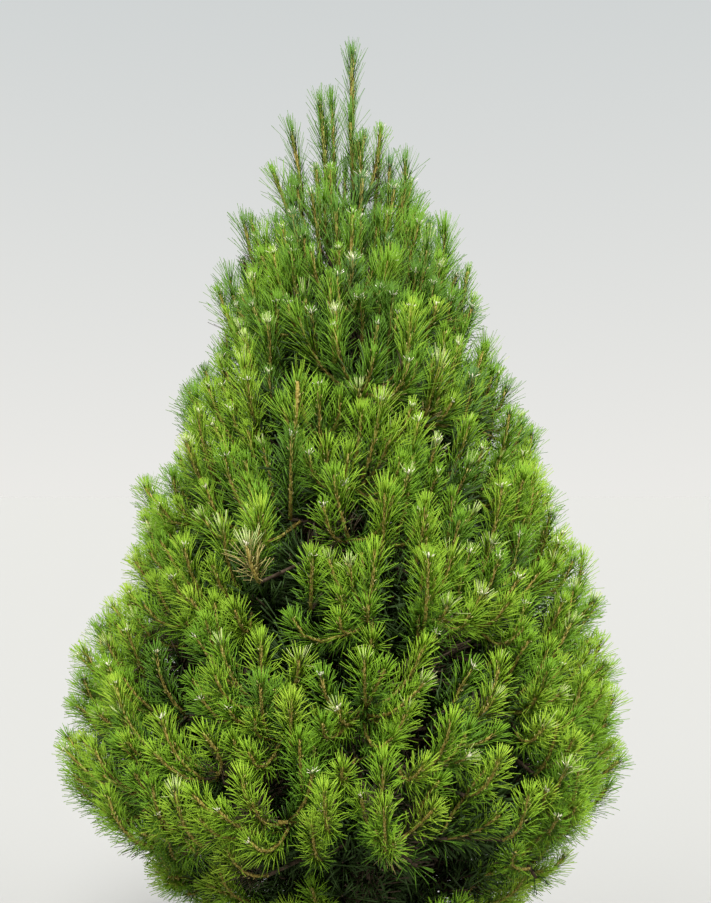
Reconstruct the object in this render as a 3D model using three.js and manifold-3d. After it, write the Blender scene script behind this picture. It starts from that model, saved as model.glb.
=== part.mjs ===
// A young Austrian pine in a plain round container. Millimetres, +Z up, origin at the middle of the
// container's flat underside. The crown is a stack of tiers round one upright trunk, and each tier is
// split into sectors. A sector is the space of one limb and of the mass of shoots that it carries.
import * as THREE from "three";
import { mergeVertices } from "three/addons/utils/BufferGeometryUtils.js";
import Module from "manifold-3d";

const wasm = await Module();
wasm.setup();

// Container and soil
const potHeight = 520;
const potBaseRadius = 325;
const potRimRadius = 398;
const potWall = 7;
const potFloor = 9;
const potFootChamfer = 10;
const potLip = 4;
const rimBand = 52; // height of the thicker band under the rim
const rimBandDepth = 13; // how far the band stands out of the wall
const potSegments = 28;
const soilLevel = 468;
const soilCrown = 12; // how much higher the soil is at the trunk than at the wall

// Trunk. Heights from here on are measured from the soil.
const trunkHeight = 2300; // the stem of the top mass goes on from here
const trunkFootRadius = 46;
const trunkTopRadius = 8;
const trunkTaper = 0.9;
const rootFlare = 26;
const rootFlareHeight = 70;
const trunkSway = 11;
const trunkSides = 12;
const trunkRings = 9;

// Outline of the crown
const treeHeight = 3275;
const crownRadius = 1030;
const widestAt = 810;
const shoulderAt = 3065; // the outline would close here if the leader didn't stand out of it

// Tiers. The border between two tiers is a bowl: it leaves the trunk level and curves up to the outline.
const sectorCounts = [6, 6, 5, 5, 4, 4, 3];
const tierCount = sectorCounts.length;
const lowestEdge = 215; // height where the lowest border meets the outline
const highestEdge = 2560;
const lowestRise = 60; // how far a border rises between the trunk's axis and the outline
const highestRise = 430;
const firstBearing = 16; // degrees, of the first sector of the lowest tier
const tierTurn = 18; // degrees between the first sectors of two tiers

// Limbs. A pair of sizes is for the lowest tier and for the highest.
const boughTiers = 4; // limbs above these are too short to have a bare bough
const boughShare = 0.42; // how much of the limb is bare bough
const limbReach = 0.64; // where the limb ends, as a share of the way to the outline
const limbFootRadius = [15, 6];
const limbTaper = 0.3;
const whorlStagger = 0.1; // limbs leave the trunk by turns higher and lower by this share of the tier

// Shoots of a mass. Across, outwards and upwards are shares of the sector's space, as in pointIn.
const shootSpacing = 226;
const shootLength = [240, 270];
const lengthSwing = 0.14;
const acrossLimit = 0.9;
const acrossSwing = 0.08;
const upwardsLimits = [0.2, 0.93];
const upwardsSwing = 0.05;
const tipScatter = 75; // how far inside the outline a tip may lie
const footAcross = 0.74; // a shoot's foot is this much nearer to the middle of the sector than its tip
const footAcrossSwing = 0.1;
const footUpwards = 0.7; // and this much nearer to the sector's lower border
const footUpwardsLeast = 0.05;
const footUpwardsSwing = 0.03;
const footOutwardsLeast = 0.3;

// Needles and twigs
const needleLength = 118;
const needleSpread = [44, 32]; // degrees between a needle and its shoot
const sprayCore = 17; // radius of the part of a shoot that its needles stand on
const sprayMiddle = 0.42; // where the first needles end and the next begin, as a share of the shoot
const twigRadius = 8;
const firstTwigOnTrunk = 0.2; // share of a limb without bough that is clear of twigs
const twigForward = 0.6; // cosine of the widest angle between a limb and a twig that leaves it

// Cores, as shares of the sector's space
const coreFrom = { onBough: 0.33, onTrunk: 0.22 };
const coreTo = 0.76;
const coreAcross = 0.9;
const coreUpwards = [0.07, 0.93];

// Top of the tree: the leader and the rings of upright shoots under it
const leaderLength = 330;
const leaderSpread = 17;
const topRings = [
  { shoots: 5, tipRadius: 285, tipHeight: 2640, lift: 60 },
  { shoots: 5, tipRadius: 215, tipHeight: 2810, lift: 68 },
  { shoots: 4, tipRadius: 105, tipHeight: 3010, lift: 78 },
];
const topHeightSwing = 45;
const topLiftSwing = 4;
const topShareSwing = 0.15;

// Clearances
const fitGap = 0.3;
const spaceGap = 9; // between the foliage of two sectors
const trunkClearance = 6; // between foliage and the trunk

const up = new THREE.Vector3(0, 0, 1);
const goldenShare = (Math.sqrt(5) - 1) / 2;
const radians = THREE.MathUtils.degToRad;
const lerp = THREE.MathUtils.lerp;
const clamp = THREE.MathUtils.clamp;

// A small seeded generator, so that the same tree grows on every run. It gives numbers from 0 to 1.
function seededRandom(seed) {
  let state = seed >>> 0;
  return () => {
    state = (state + 0x6d2b79f5) >>> 0;
    let mixed = Math.imul(state ^ (state >>> 15), 1 | state);
    mixed = (mixed + Math.imul(mixed ^ (mixed >>> 7), 61 | mixed)) ^ mixed;
    return ((mixed ^ (mixed >>> 14)) >>> 0) / 4294967296;
  };
}

// The same generator, for a number between minus and plus an amount.
function seededSwing(random) {
  return (amount) => (2 * random() - 1) * amount;
}

function outlineRadius(height) {
  if (height < widestAt) {
    const drop = (widestAt - height) / widestAt;
    return crownRadius * (1 - drop ** 1.4) ** 0.5;
  }
  return crownRadius * clamp((shoulderAt - height) / (shoulderAt - widestAt), 0, 1) ** 0.73;
}

function trunkCentre(height) {
  const share = height / trunkHeight;
  return new THREE.Vector3(
    trunkSway * Math.sin(2 * Math.PI * share),
    trunkSway * Math.sin(Math.PI * share) * share,
    soilLevel + height,
  );
}

function trunkRadius(height) {
  const share = clamp(height / trunkHeight, 0, 1);
  const flare = rootFlare * Math.exp(-height / rootFlareHeight);
  return lerp(trunkFootRadius, trunkTopRadius, share ** trunkTaper) + flare;
}

// The border under a tier: its height on the axis and at the outline, and its radius there.
function tierBorder(tier) {
  const share = tier / tierCount;
  const edge = lerp(lowestEdge, highestEdge, share);
  const rise = lerp(lowestRise, highestRise, 1 - (1 - share) ** 2);
  return { root: edge - rise, edge, reach: outlineRadius(edge) };
}

// How far over a border a point lies, measured square to it.
function roomOver(border, radius, height) {
  const rise = border.edge - border.root;
  const outwards = radius / border.reach;
  const slope = (2 * rise * outwards) / border.reach;
  return (height - border.root - rise * outwards ** 2) / Math.hypot(1, slope);
}

// Solids are joined and cut by manifold-3d, and come back as three.js geometry.
function toSolid(geometry) {
  const bare = geometry.clone();
  for (const name of Object.keys(bare.attributes)) {
    if (name !== "position") bare.deleteAttribute(name);
  }
  const merged = mergeVertices(bare, 1e-3);
  return new wasm.Manifold(
    new wasm.Mesh({
      numProp: 3,
      vertProperties: merged.attributes.position.array,
      triVerts: new Uint32Array(merged.index.array),
    }),
  );
}

function toGeometry(solid) {
  const mesh = solid.getMesh();
  const geometry = new THREE.BufferGeometry();
  geometry.setAttribute("position", new THREE.BufferAttribute(Float32Array.from(mesh.vertProperties), 3));
  geometry.setIndex(new THREE.BufferAttribute(Uint32Array.from(mesh.triVerts), 1));
  const faceted = geometry.toNonIndexed();
  faceted.computeVertexNormals();
  return faceted;
}

// The largest body of a solid, without loose scraps and with sealed hollows filled. Rounding to 32 bits can
// part a sliver from it, so it is made again from its rounded mesh and sifted once more.
function largestPiece(solid) {
  const largest = (whole) =>
    whole.decompose().reduce((best, piece) => (piece.volume() > best.volume() ? piece : best));
  return largest(toSolid(toGeometry(largest(solid))));
}

// Two directions square to an axis and to each other.
function crossAxes(axis) {
  const side = new THREE.Vector3().crossVectors(up, axis);
  if (side.lengthSq() < 1e-4) side.set(0, 1, 0);
  side.normalize();
  return [side, new THREE.Vector3().crossVectors(axis, side).normalize()];
}

function ringPoints(centre, axis, radius, sides, turn = 0) {
  const [first, second] = crossAxes(axis);
  return Array.from({ length: sides }, (_, i) => {
    const angle = turn + (2 * Math.PI * i) / sides;
    return centre
      .clone()
      .addScaledVector(first, radius * Math.cos(angle))
      .addScaledVector(second, radius * Math.sin(angle));
  });
}

// A tapering limb: a cylinder bent along a centre line. The functions take a share of its length.
function limbGeometry({ centreAt, axisAt, radiusAt, rings, sides }) {
  const limb = new THREE.CylinderGeometry(1, 1, 1, sides, rings);
  const position = limb.attributes.position;
  for (let i = 0; i < position.count; i++) {
    const share = position.getY(i) + 0.5;
    const [first, second] = crossAxes(axisAt(share));
    const point = centreAt(share)
      .addScaledVector(first, radiusAt(share) * position.getZ(i))
      .addScaledVector(second, radiusAt(share) * position.getX(i));
    position.setXYZ(i, point.x, point.y, point.z);
  }
  return limb;
}

function turnedGeometry(profile) {
  const points = profile.map(([radius, height]) => new THREE.Vector2(radius, height));
  return new THREE.LatheGeometry(points, potSegments).rotateX(Math.PI / 2);
}

function potWallRadius(height) {
  return lerp(potBaseRadius, potRimRadius - rimBandDepth, height / potHeight);
}

function potGeometry() {
  const bandFoot = potHeight - rimBand;
  return turnedGeometry([
    [0, 0],
    [potBaseRadius - potFootChamfer, 0],
    [potWallRadius(potFootChamfer), potFootChamfer],
    [potWallRadius(bandFoot - rimBandDepth), bandFoot - rimBandDepth],
    [potRimRadius - potLip, bandFoot],
    [potRimRadius, potHeight - potLip],
    [potRimRadius - potLip, potHeight],
    [potWallRadius(potHeight) - potWall, potHeight],
    [potWallRadius(potFloor) - potWall, potFloor],
    [0, potFloor],
  ]);
}

function soilGeometry() {
  const foot = potFloor + fitGap;
  const top = soilLevel - fitGap;
  const reach = (height) => potWallRadius(height) - potWall - 2 * fitGap;
  return turnedGeometry([
    [0, foot],
    [reach(foot), foot],
    [reach(top - soilCrown), top - soilCrown],
    [trunkFootRadius + 2 * rootFlare, top],
    [0, top],
  ]);
}

// An allowance makes the larger copy that cuts other pieces clear of the trunk.
function trunkGeometry(allowance = 0) {
  const heightAt = (share) => trunkHeight * share ** 2;
  return limbGeometry({
    centreAt: (share) => trunkCentre(heightAt(share)),
    axisAt: () => up,
    radiusAt: (share) => (trunkRadius(heightAt(share)) + allowance) / Math.cos(Math.PI / trunkSides),
    rings: trunkRings,
    sides: trunkSides,
  });
}

// A point of a sector's space. Across runs from -1 to 1 between its sides, outwards from 0 at the axis to 1
// at the outline, and upwards from 0 to 1 between the borders under and over it.
function pointIn(sector, across, outwards, upwards) {
  const edgeHeight = lerp(sector.floor.edge, sector.roof.edge, upwards);
  const rootHeight = lerp(sector.floor.root, sector.roof.root, upwards);
  const bearing = sector.bearing + across * sector.halfWidth;
  const radius = outwards * outlineRadius(edgeHeight);
  return new THREE.Vector3(
    radius * Math.cos(bearing),
    radius * Math.sin(bearing),
    soilLevel + lerp(rootHeight, edgeHeight, outwards ** 2),
  );
}

// Climb is 0 in the lowest tier and 1 in the highest.
function makeSector(tier, index) {
  const count = sectorCounts[tier];
  const onBough = tier < boughTiers;
  const sector = {
    tier,
    index,
    climb: tier / (tierCount - 1),
    bearing: radians(firstBearing + tierTurn * tier + (360 / count) * index),
    halfWidth: Math.PI / count,
    floor: tierBorder(tier),
    roof: tierBorder(tier + 1),
    bareShare: onBough ? boughShare : 0,
    firstTwig: onBough ? boughShare + 0.05 : firstTwigOnTrunk,
    coreFrom: onBough ? coreFrom.onBough : coreFrom.onTrunk,
  };
  sector.limb = new THREE.QuadraticBezierCurve3(
    pointIn(sector, 0, 0, 0.5 + (index % 2 ? whorlStagger : -whorlStagger)),
    pointIn(sector, 0, limbReach / 2, 0.4),
    pointIn(sector, 0, limbReach, 0.52),
  );
  sector.limbRadius = (share) => lerp(...limbFootRadius, sector.climb) * lerp(1, limbTaper, share);
  return sector;
}

// The space over the highest tier, all round the tree, and the stem that carries the leader.
function makeTop() {
  const foot = trunkCentre(trunkHeight);
  return {
    bearing: 0,
    halfWidth: Math.PI,
    floor: tierBorder(tierCount),
    bareShare: 0,
    firstTwig: 0.03,
    limb: new THREE.LineCurve3(
      foot.clone().setZ(foot.z + fitGap),
      foot.clone().setZ(soilLevel + treeHeight - leaderLength),
    ),
    limbRadius: (share) => lerp(trunkTopRadius, trunkTopRadius / 2, share),
  };
}

// How far inside a sector's space a point lies. It is negative outside.
function roomIn(sector, point) {
  const height = point.z - soilLevel;
  const radius = Math.hypot(point.x, point.y);
  const turned = Math.atan2(point.y, point.x) - sector.bearing;
  const offCentre = Math.abs(Math.atan2(Math.sin(turned), Math.cos(turned)));
  const sideAngle = clamp(sector.halfWidth - offCentre, -Math.PI / 2, Math.PI / 2);
  return Math.min(
    sector.halfWidth < Math.PI ? radius * Math.sin(sideAngle) - spaceGap / 2 : Infinity,
    roomOver(sector.floor, radius, height) - spaceGap / 2,
    sector.roof ? -roomOver(sector.roof, radius, height) - spaceGap / 2 : Infinity,
    height < trunkHeight ? radius - trunkRadius(height) - trunkSway - trunkClearance : Infinity,
  );
}

// The shoots of a sector. Their tips are spread evenly over its share of the outline by the golden ratio,
// and the seed then moves and turns each one a little.
function sectorShoots(sector) {
  const random = seededRandom(1000 + 50 * sector.tier + sector.index);
  const swing = seededSwing(random);
  const { floor, roof } = sector;
  const middle = outlineRadius((floor.edge + roof.edge) / 2);
  const slant = Math.hypot(roof.edge - floor.edge, roof.reach - floor.reach);
  const count = Math.round((2 * sector.halfWidth * middle * slant) / shootSpacing ** 2);
  return Array.from({ length: count }, (_, i) => {
    const evenAcross = 2 * ((goldenShare * (i + sector.index)) % 1) - 1;
    const across = clamp(evenAcross + swing(acrossSwing), -acrossLimit, acrossLimit);
    const upwards = clamp((i + 0.5) / count + swing(upwardsSwing), ...upwardsLimits);
    const length = lerp(...shootLength, sector.climb) * (1 + swing(lengthSwing));
    const tip = pointIn(sector, across, 1, upwards);
    const foot = pointIn(
      sector,
      footAcross * across + swing(footAcrossSwing),
      Math.max(1 - length / Math.hypot(tip.x, tip.y), footOutwardsLeast),
      footUpwardsLeast + footUpwards * upwards + swing(footUpwardsSwing),
    );
    const direction = tip.clone().sub(foot).normalize();
    tip.addScaledVector(direction, -tipScatter * random() ** 2);
    return { tip, direction, length, spread: lerp(...needleSpread, sector.climb) };
  });
}

function topShoots(top) {
  const random = seededRandom(77);
  const swing = seededSwing(random);
  const axis = top.limb.getPoint(1);
  const leader = {
    tip: axis.clone().setZ(soilLevel + treeHeight),
    direction: up,
    length: leaderLength,
    spread: leaderSpread,
  };
  const rings = topRings.map(({ shoots, tipRadius, tipHeight, lift }, ring) =>
    Array.from({ length: shoots }, (_, i) => {
      const bearing = (2 * Math.PI * (i + ring / 2 + swing(topShareSwing))) / shoots;
      const elevation = radians(lift + swing(topLiftSwing));
      const outward = new THREE.Vector3(Math.cos(bearing), Math.sin(bearing), 0);
      const tip = axis.clone().setZ(soilLevel + tipHeight + swing(topHeightSwing));
      tip.addScaledVector(outward, tipRadius * (1 + swing(topShareSwing)));
      const direction = outward.multiplyScalar(Math.cos(elevation)).setZ(Math.sin(elevation));
      return { tip, direction, length: shootLength[1] * (1 + swing(lengthSwing)), spread: needleSpread[1] };
    }),
  );
  return [leader, ...rings.flat()];
}

// The place on a limb where the twig of a shoot leaves it: the last one from which the shoot lies ahead.
function twigRoot(sector, foot) {
  const step = 0.05;
  let root = sector.firstTwig;
  for (let share = root; share < 1 - step; share += step) {
    const ahead = foot.clone().sub(sector.limb.getPoint(share));
    if (ahead.dot(sector.limb.getTangent(share)) > twigForward * ahead.length()) root = share;
  }
  return sector.limb.getPoint(root);
}

// One shoot: a three-sided twig, then a slim core. The faces of the core are drawn out into needles, but a
// needle that would leave the sector's space stays a plain face.
function shootPoints(sector, { tip, direction, length, spread }) {
  const foot = tip.clone().addScaledVector(direction, -length);
  const root = twigRoot(sector, foot);
  const twigAxis = foot.clone().sub(root).normalize();
  const middle = foot.clone().addScaledVector(direction, length * sprayMiddle);
  const points = [
    ...ringPoints(root.addScaledVector(twigAxis, -twigRadius), twigAxis, twigRadius, 3),
    ...ringPoints(foot, direction.clone().add(twigAxis).normalize(), sprayCore, 3),
    ...ringPoints(middle, direction, sprayCore, 3, Math.PI / 3),
    tip.clone(),
  ];
  const crest = points.length - 1;
  const faces = [0, 2, 1];
  const drawOut = (a, b, c) => {
    const centre = points[a].clone().add(points[b]).add(points[c]).divideScalar(3);
    const outward = centre.clone().sub(foot).projectOnPlane(direction).normalize();
    const needle = centre
      .addScaledVector(outward, needleLength * Math.sin(radians(spread)))
      .addScaledVector(direction, needleLength * Math.cos(radians(spread)));
    if (roomIn(sector, needle) < 0) {
      faces.push(a, b, c);
      return;
    }
    const apex = points.push(needle) - 1;
    faces.push(a, b, apex, b, c, apex, c, a, apex);
  };
  for (let i = 0; i < 3; i++) {
    const next = (i + 1) % 3;
    faces.push(i, next, next + 3, i, next + 3, i + 3);
    drawOut(i + 3, next + 3, i + 6);
    drawOut(next + 3, next + 6, i + 6);
    drawOut(i + 6, next + 6, crest);
  }
  return { points, faces };
}

function shootSolid({ points, faces }) {
  const geometry = new THREE.BufferGeometry().setFromPoints(points);
  geometry.setIndex(faces);
  return toSolid(geometry);
}

// A core deep in the mass, a ball bent to the shape of the sector's space, that the shoots stand out of.
function coreSolid(sector) {
  const ball = new THREE.SphereGeometry(1, 6, 4);
  const position = ball.attributes.position;
  for (let i = 0; i < position.count; i++) {
    const across = coreAcross * position.getX(i);
    const outwards = lerp(sector.coreFrom, coreTo, (1 + position.getZ(i)) / 2);
    const upwards = lerp(...coreUpwards, (1 + position.getY(i)) / 2);
    const point = pointIn(sector, across, outwards, upwards);
    position.setXYZ(i, point.x, point.y, point.z);
  }
  return toSolid(ball);
}

// The stretch of a sector's limb between two shares of it.
function limbSolid(sector, from, to, sides) {
  return toSolid(
    limbGeometry({
      centreAt: (share) => sector.limb.getPoint(lerp(from, to, share)),
      axisAt: (share) => sector.limb.getTangent(lerp(from, to, share)),
      radiusAt: (share) => sector.limbRadius(lerp(from, to, share)),
      rings: 2,
      sides,
    }),
  );
}

const trunkCutter = toSolid(trunkGeometry(fitGap));

function boughGeometry(sector) {
  const limb = limbSolid(sector, 0, sector.bareShare, 5);
  return toGeometry(largestPiece(limb.subtract(trunkCutter)));
}

function massGeometry(sector, shoots) {
  const from = sector.bareShare ? sector.bareShare + fitGap / sector.limb.getLength() : 0;
  const stem = limbSolid(sector, from, 1, 4);
  const dense = sector.coreFrom ? stem.add(coreSolid(sector)) : stem;
  const grown = shoots
    .map((shoot) => shootPoints(sector, shoot))
    .filter(({ points }) => points.every((point) => roomIn(sector, point) >= 0));
  const mass = grown.reduce((whole, shoot) => whole.add(shootSolid(shoot)), dense);
  return toGeometry(largestPiece(mass.subtract(trunkCutter)));
}

const group = new THREE.Group();
const plasticLook = { color: 0x2b2d2c, roughness: 0.6, metalness: 0 };
const soilLook = { color: 0x3b2a1e, roughness: 1, metalness: 0 };
const barkLook = { color: 0x6b5444, roughness: 0.9, metalness: 0 };
const needleLooks = [0x4f8a2c, 0x5a9631, 0x447a2a, 0x659f38].map((color) => ({
  color,
  roughness: 0.75,
  metalness: 0,
}));

function addMesh(name, geometry, look) {
  const mesh = new THREE.Mesh(geometry, new THREE.MeshStandardMaterial(look));
  mesh.name = name;
  group.add(mesh);
}

addMesh("pot", potGeometry(), plasticLook);
addMesh("soil", soilGeometry(), soilLook);
addMesh("trunk", trunkGeometry(), barkLook);
sectorCounts.forEach((count, tier) => {
  for (let index = 0; index < count; index++) {
    const sector = makeSector(tier, index);
    const place = `${tier + 1}_${index + 1}`;
    const look = needleLooks[(tier + index) % needleLooks.length];
    if (sector.bareShare) addMesh(`bough_${place}`, boughGeometry(sector), barkLook);
    addMesh(`foliage_${place}`, massGeometry(sector, sectorShoots(sector)), look);
  }
});
const top = makeTop();
addMesh("foliage_top", massGeometry(top, topShoots(top)), needleLooks[0]);

export default group;
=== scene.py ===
import math

import bmesh
import bpy
import numpy as np
from mathutils import Matrix, Vector, noise


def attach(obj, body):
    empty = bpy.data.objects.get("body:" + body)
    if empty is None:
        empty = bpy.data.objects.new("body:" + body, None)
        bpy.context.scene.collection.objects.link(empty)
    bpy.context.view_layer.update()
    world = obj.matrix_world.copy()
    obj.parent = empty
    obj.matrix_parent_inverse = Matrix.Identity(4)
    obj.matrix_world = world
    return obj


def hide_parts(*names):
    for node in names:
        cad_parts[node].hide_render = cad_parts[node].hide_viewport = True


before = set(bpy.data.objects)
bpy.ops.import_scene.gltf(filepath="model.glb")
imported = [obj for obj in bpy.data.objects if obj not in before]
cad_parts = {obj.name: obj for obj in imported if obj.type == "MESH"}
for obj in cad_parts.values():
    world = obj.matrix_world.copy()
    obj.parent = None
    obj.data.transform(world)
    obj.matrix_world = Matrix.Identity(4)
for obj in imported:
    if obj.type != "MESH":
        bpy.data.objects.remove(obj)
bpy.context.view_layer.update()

# A young Austrian pine in a nursery container. Metres, +Z up, heights of the plant measured from the soil.
bpy.ops.object.select_all(action="DESELECT")
noise.seed_set(3)  # without it Blender's vector noise changes from run to run
up = Vector((0, 0, 1))
goldenShare = (math.sqrt(5) - 1) / 2
goldenTurn = 2 * math.pi * (1 - goldenShare)
plasticShare = 0.7549  # spreads a second measure as evenly as the golden share does the first


def lerp(a, b, share):
    return a + (b - a) * share


def clamp(value, low, high):
    return min(max(value, low), high)


def seededRandom(seed):  # the same numbers as the part's source draws, from 0 to 1
    state = seed
    mask = 0xFFFFFFFF

    def draw():
        nonlocal state
        state = (state + 0x6D2B79F5) & mask
        mixed = ((state ^ (state >> 15)) * (1 | state)) & mask
        mixed = ((mixed + (mixed ^ (mixed >> 7)) * (61 | mixed)) & mask) ^ mixed
        return (mixed ^ (mixed >> 14)) / 4294967296

    return draw


def swing(random, reach):  # a random step to either side
    return (2 * random() - 1) * reach


# The crown's rule, as in the part's source: tiers of sectors round the trunk, with one limb each
crown = {
    "soilLevel": 0.468,
    "treeHeight": 3.275,
    "trunkHeight": 2.3,
    "leader": (0.33, 0.065),  # how far below the tree's top its stem starts and ends
    "radius": 1.03,
    "widestAt": 0.81,
    "shoulderAt": 3.065,
    "skirtCurve": 1.4,
    "coneCurve": 0.73,
    "sectors": [6, 6, 5, 5, 4, 4, 3],  # round the trunk, from the lowest tier up
    "edges": (0.215, 2.56),  # where the lowest and the highest border meet the outline
    "rises": (0.06, 0.43),
    "firstBearing": 16,
    "tierTurn": 18,
    "limbReach": 0.64,
    "limbRises": (0.5, 0.4, 0.52),  # of its foot, handle and end, from the sector's floor to its roof
    "whorlStagger": 0.1,
    "limbRadius": (0.015, 0.006),
    "limbTaper": 0.3,
    "boughTiers": 4,
    "bareShare": 0.42,  # of a bough
    "firstTwig": {"bough": 0.05, "stem": 0.2, "top": 0.03},  # from there, or from the foot, to the first twig
    "lastTwig": 0.95,
    "twigForward": 0.6,
}
trunk = {
    "footRadius": 0.046,
    "topRadius": 0.008,
    "taper": 0.9,
    "flare": 0.026,
    "flareHeight": 0.07,
    "sway": 0.011,
}
tierCount = len(crown["sectors"])


def fromSoil(x, y, height):
    return Vector((x, y, crown["soilLevel"] + height))


def heightOf(point):
    return point.z - crown["soilLevel"]


def outlineRadius(height):
    if height < crown["widestAt"]:
        drop = (crown["widestAt"] - height) / crown["widestAt"]
        return crown["radius"] * max(1 - drop ** crown["skirtCurve"], 0) ** 0.5
    span = crown["shoulderAt"] - crown["widestAt"]
    return crown["radius"] * clamp((crown["shoulderAt"] - height) / span, 0, 1) ** crown["coneCurve"]


def trunkCentre(height):
    share = height / crown["trunkHeight"]
    x = trunk["sway"] * math.sin(2 * math.pi * share)
    y = trunk["sway"] * math.sin(math.pi * share) * share
    return fromSoil(x, y, height)


def trunkRadius(height):
    share = clamp(height / crown["trunkHeight"], 0, 1)
    flare = trunk["flare"] * math.exp(-height / trunk["flareHeight"])
    return lerp(trunk["footRadius"], trunk["topRadius"], share ** trunk["taper"]) + flare


def tierBorder(tier):
    share = tier / tierCount
    edge = lerp(*crown["edges"], share)
    rise = lerp(*crown["rises"], 1 - (1 - share) ** 2)
    return {"root": edge - rise, "edge": edge, "reach": outlineRadius(edge)}


def pointIn(sector, across, outwards, upwards):
    floor, roof = sector["floor"], sector["roof"]
    edgeHeight = lerp(floor["edge"], roof["edge"], upwards)
    rootHeight = lerp(floor["root"], roof["root"], upwards)
    bearing = sector["bearing"] + across * sector["halfWidth"]
    radius = outwards * outlineRadius(edgeHeight)
    height = lerp(rootHeight, edgeHeight, outwards ** 2)
    return fromSoil(radius * math.cos(bearing), radius * math.sin(bearing), height)


def bend(path, share):  # a point of a curve with a start, a handle and an end
    a, b, c = path
    return a * (1 - share) ** 2 + b * 2 * share * (1 - share) + c * share ** 2


def heading(path, share):
    a, b, c = path
    return ((b - a) * (1 - share) + (c - b) * share).normalized()


def makeSector(tier, index):
    count = crown["sectors"][tier]
    firstTwig = crown["firstTwig"]["stem"]
    if tier < crown["boughTiers"]:
        firstTwig = crown["bareShare"] + crown["firstTwig"]["bough"]
    sector = {
        "tier": tier,
        "index": index,
        "climb": tier / (tierCount - 1),
        "bearing": math.radians(crown["firstBearing"] + crown["tierTurn"] * tier + 360 / count * index),
        "halfWidth": math.pi / count,
        "floor": tierBorder(tier),
        "roof": tierBorder(tier + 1),
        "firstTwig": firstTwig,
    }
    stagger = crown["whorlStagger"] * (1 if index % 2 else -1)
    reach = crown["limbReach"]
    footRise, handleRise, endRise = crown["limbRises"]
    sector["limb"] = (
        pointIn(sector, 0, 0, footRise + stagger),
        pointIn(sector, 0, reach / 2, handleRise),
        pointIn(sector, 0, reach, endRise),
    )
    return sector


def makeTop():
    foot = trunkCentre(crown["trunkHeight"])
    head = Vector((foot.x, foot.y, crown["soilLevel"] + crown["treeHeight"] - crown["leader"][0]))
    return {"climb": 1, "firstTwig": crown["firstTwig"]["top"], "limb": (foot, (foot + head) / 2, head)}


shootRule = {  # the source's shoots
    "seed": 1000,
    "apart": 0.226,  # spacing of their tips, which are spread evenly over the outline
    "band": (0.2, 0.93),  # of the way from the sector's floor to its roof
    "jog": (0.08, 0.05),  # across and upwards
    "halfWidth": 0.9,
    "length": (0.24, 0.27),  # low and high in the crown
    "lengthSwing": 0.14,
    "footAcross": (0.74, 0.1),  # share of the tip's way, and its swing
    "footRise": (0.05, 0.7, 0.03),  # the lowest, share of the tip's, and its swing
    "footReach": 0.3,
    "tipDrop": 0.075,
}
finerRule = {**shootRule, "seed": 3000, "apart": 0.096, "band": (0.02, 0.98), "jog": (0.16, 0.04)}


def sectorShoots(sector, rule):
    random = seededRandom(rule["seed"] + 50 * sector["tier"] + sector["index"])
    floor, roof = sector["floor"], sector["roof"]
    middle = outlineRadius((floor["edge"] + roof["edge"]) / 2)
    slant = math.hypot(roof["edge"] - floor["edge"], roof["reach"] - floor["reach"])
    count = math.floor(2 * sector["halfWidth"] * middle * slant / rule["apart"] ** 2 + 0.5)
    footShare, footSwing = rule["footAcross"]
    lowest, riseShare, riseSwing = rule["footRise"]
    shoots = []
    for i in range(count):
        evenAcross = 2 * ((goldenShare * (i + sector["index"])) % 1) - 1
        across = clamp(evenAcross + swing(random, rule["jog"][0]), -rule["halfWidth"], rule["halfWidth"])
        upwards = clamp((i + 0.5) / count + swing(random, rule["jog"][1]), *rule["band"])
        length = lerp(*rule["length"], sector["climb"]) * (1 + swing(random, rule["lengthSwing"]))
        tip = pointIn(sector, across, 1, upwards)
        footAcross = footShare * across + swing(random, footSwing)
        footOutwards = max(1 - length / math.hypot(tip.x, tip.y), rule["footReach"])
        footRise = lowest + riseShare * upwards + swing(random, riseSwing)
        foot = pointIn(sector, footAcross, footOutwards, footRise)
        direction = (tip - foot).normalized()
        tip -= direction * rule["tipDrop"] * random() ** 2
        shoots.append({"tip": tip, "direction": direction, "length": length})
    return shoots


topRule = {  # the source's rings of shoots round the leader
    "seed": 77,
    "rings": [
        {"shoots": 5, "tipRadius": 0.285, "tipHeight": 2.64, "lift": 60},
        {"shoots": 5, "tipRadius": 0.215, "tipHeight": 2.81, "lift": 68},
        {"shoots": 4, "tipRadius": 0.105, "tipHeight": 3.01, "lift": 78},
    ],
    "length": 0.27,
    "swings": {"turn": 0.15, "lift": 4, "height": 0.045, "radius": 0.15, "length": 0.14},
}


def topShoots():
    random = seededRandom(topRule["seed"])
    swings = topRule["swings"]
    axis = top["limb"][2]
    shoots = []
    for index, ring in enumerate(topRule["rings"]):
        for i in range(ring["shoots"]):
            bearing = 2 * math.pi * (i + index / 2 + swing(random, swings["turn"])) / ring["shoots"]
            elevation = math.radians(ring["lift"] + swing(random, swings["lift"]))
            outward = Vector((math.cos(bearing), math.sin(bearing), 0))
            height = crown["soilLevel"] + ring["tipHeight"] + swing(random, swings["height"])
            tip = Vector((axis.x, axis.y, height))
            tip += outward * ring["tipRadius"] * (1 + swing(random, swings["radius"]))
            direction = outward * math.cos(elevation) + up * math.sin(elevation)
            length = topRule["length"] * (1 + swing(random, swings["length"]))
            shoots.append({"tip": tip, "direction": direction, "length": length})
    return shoots


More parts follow.
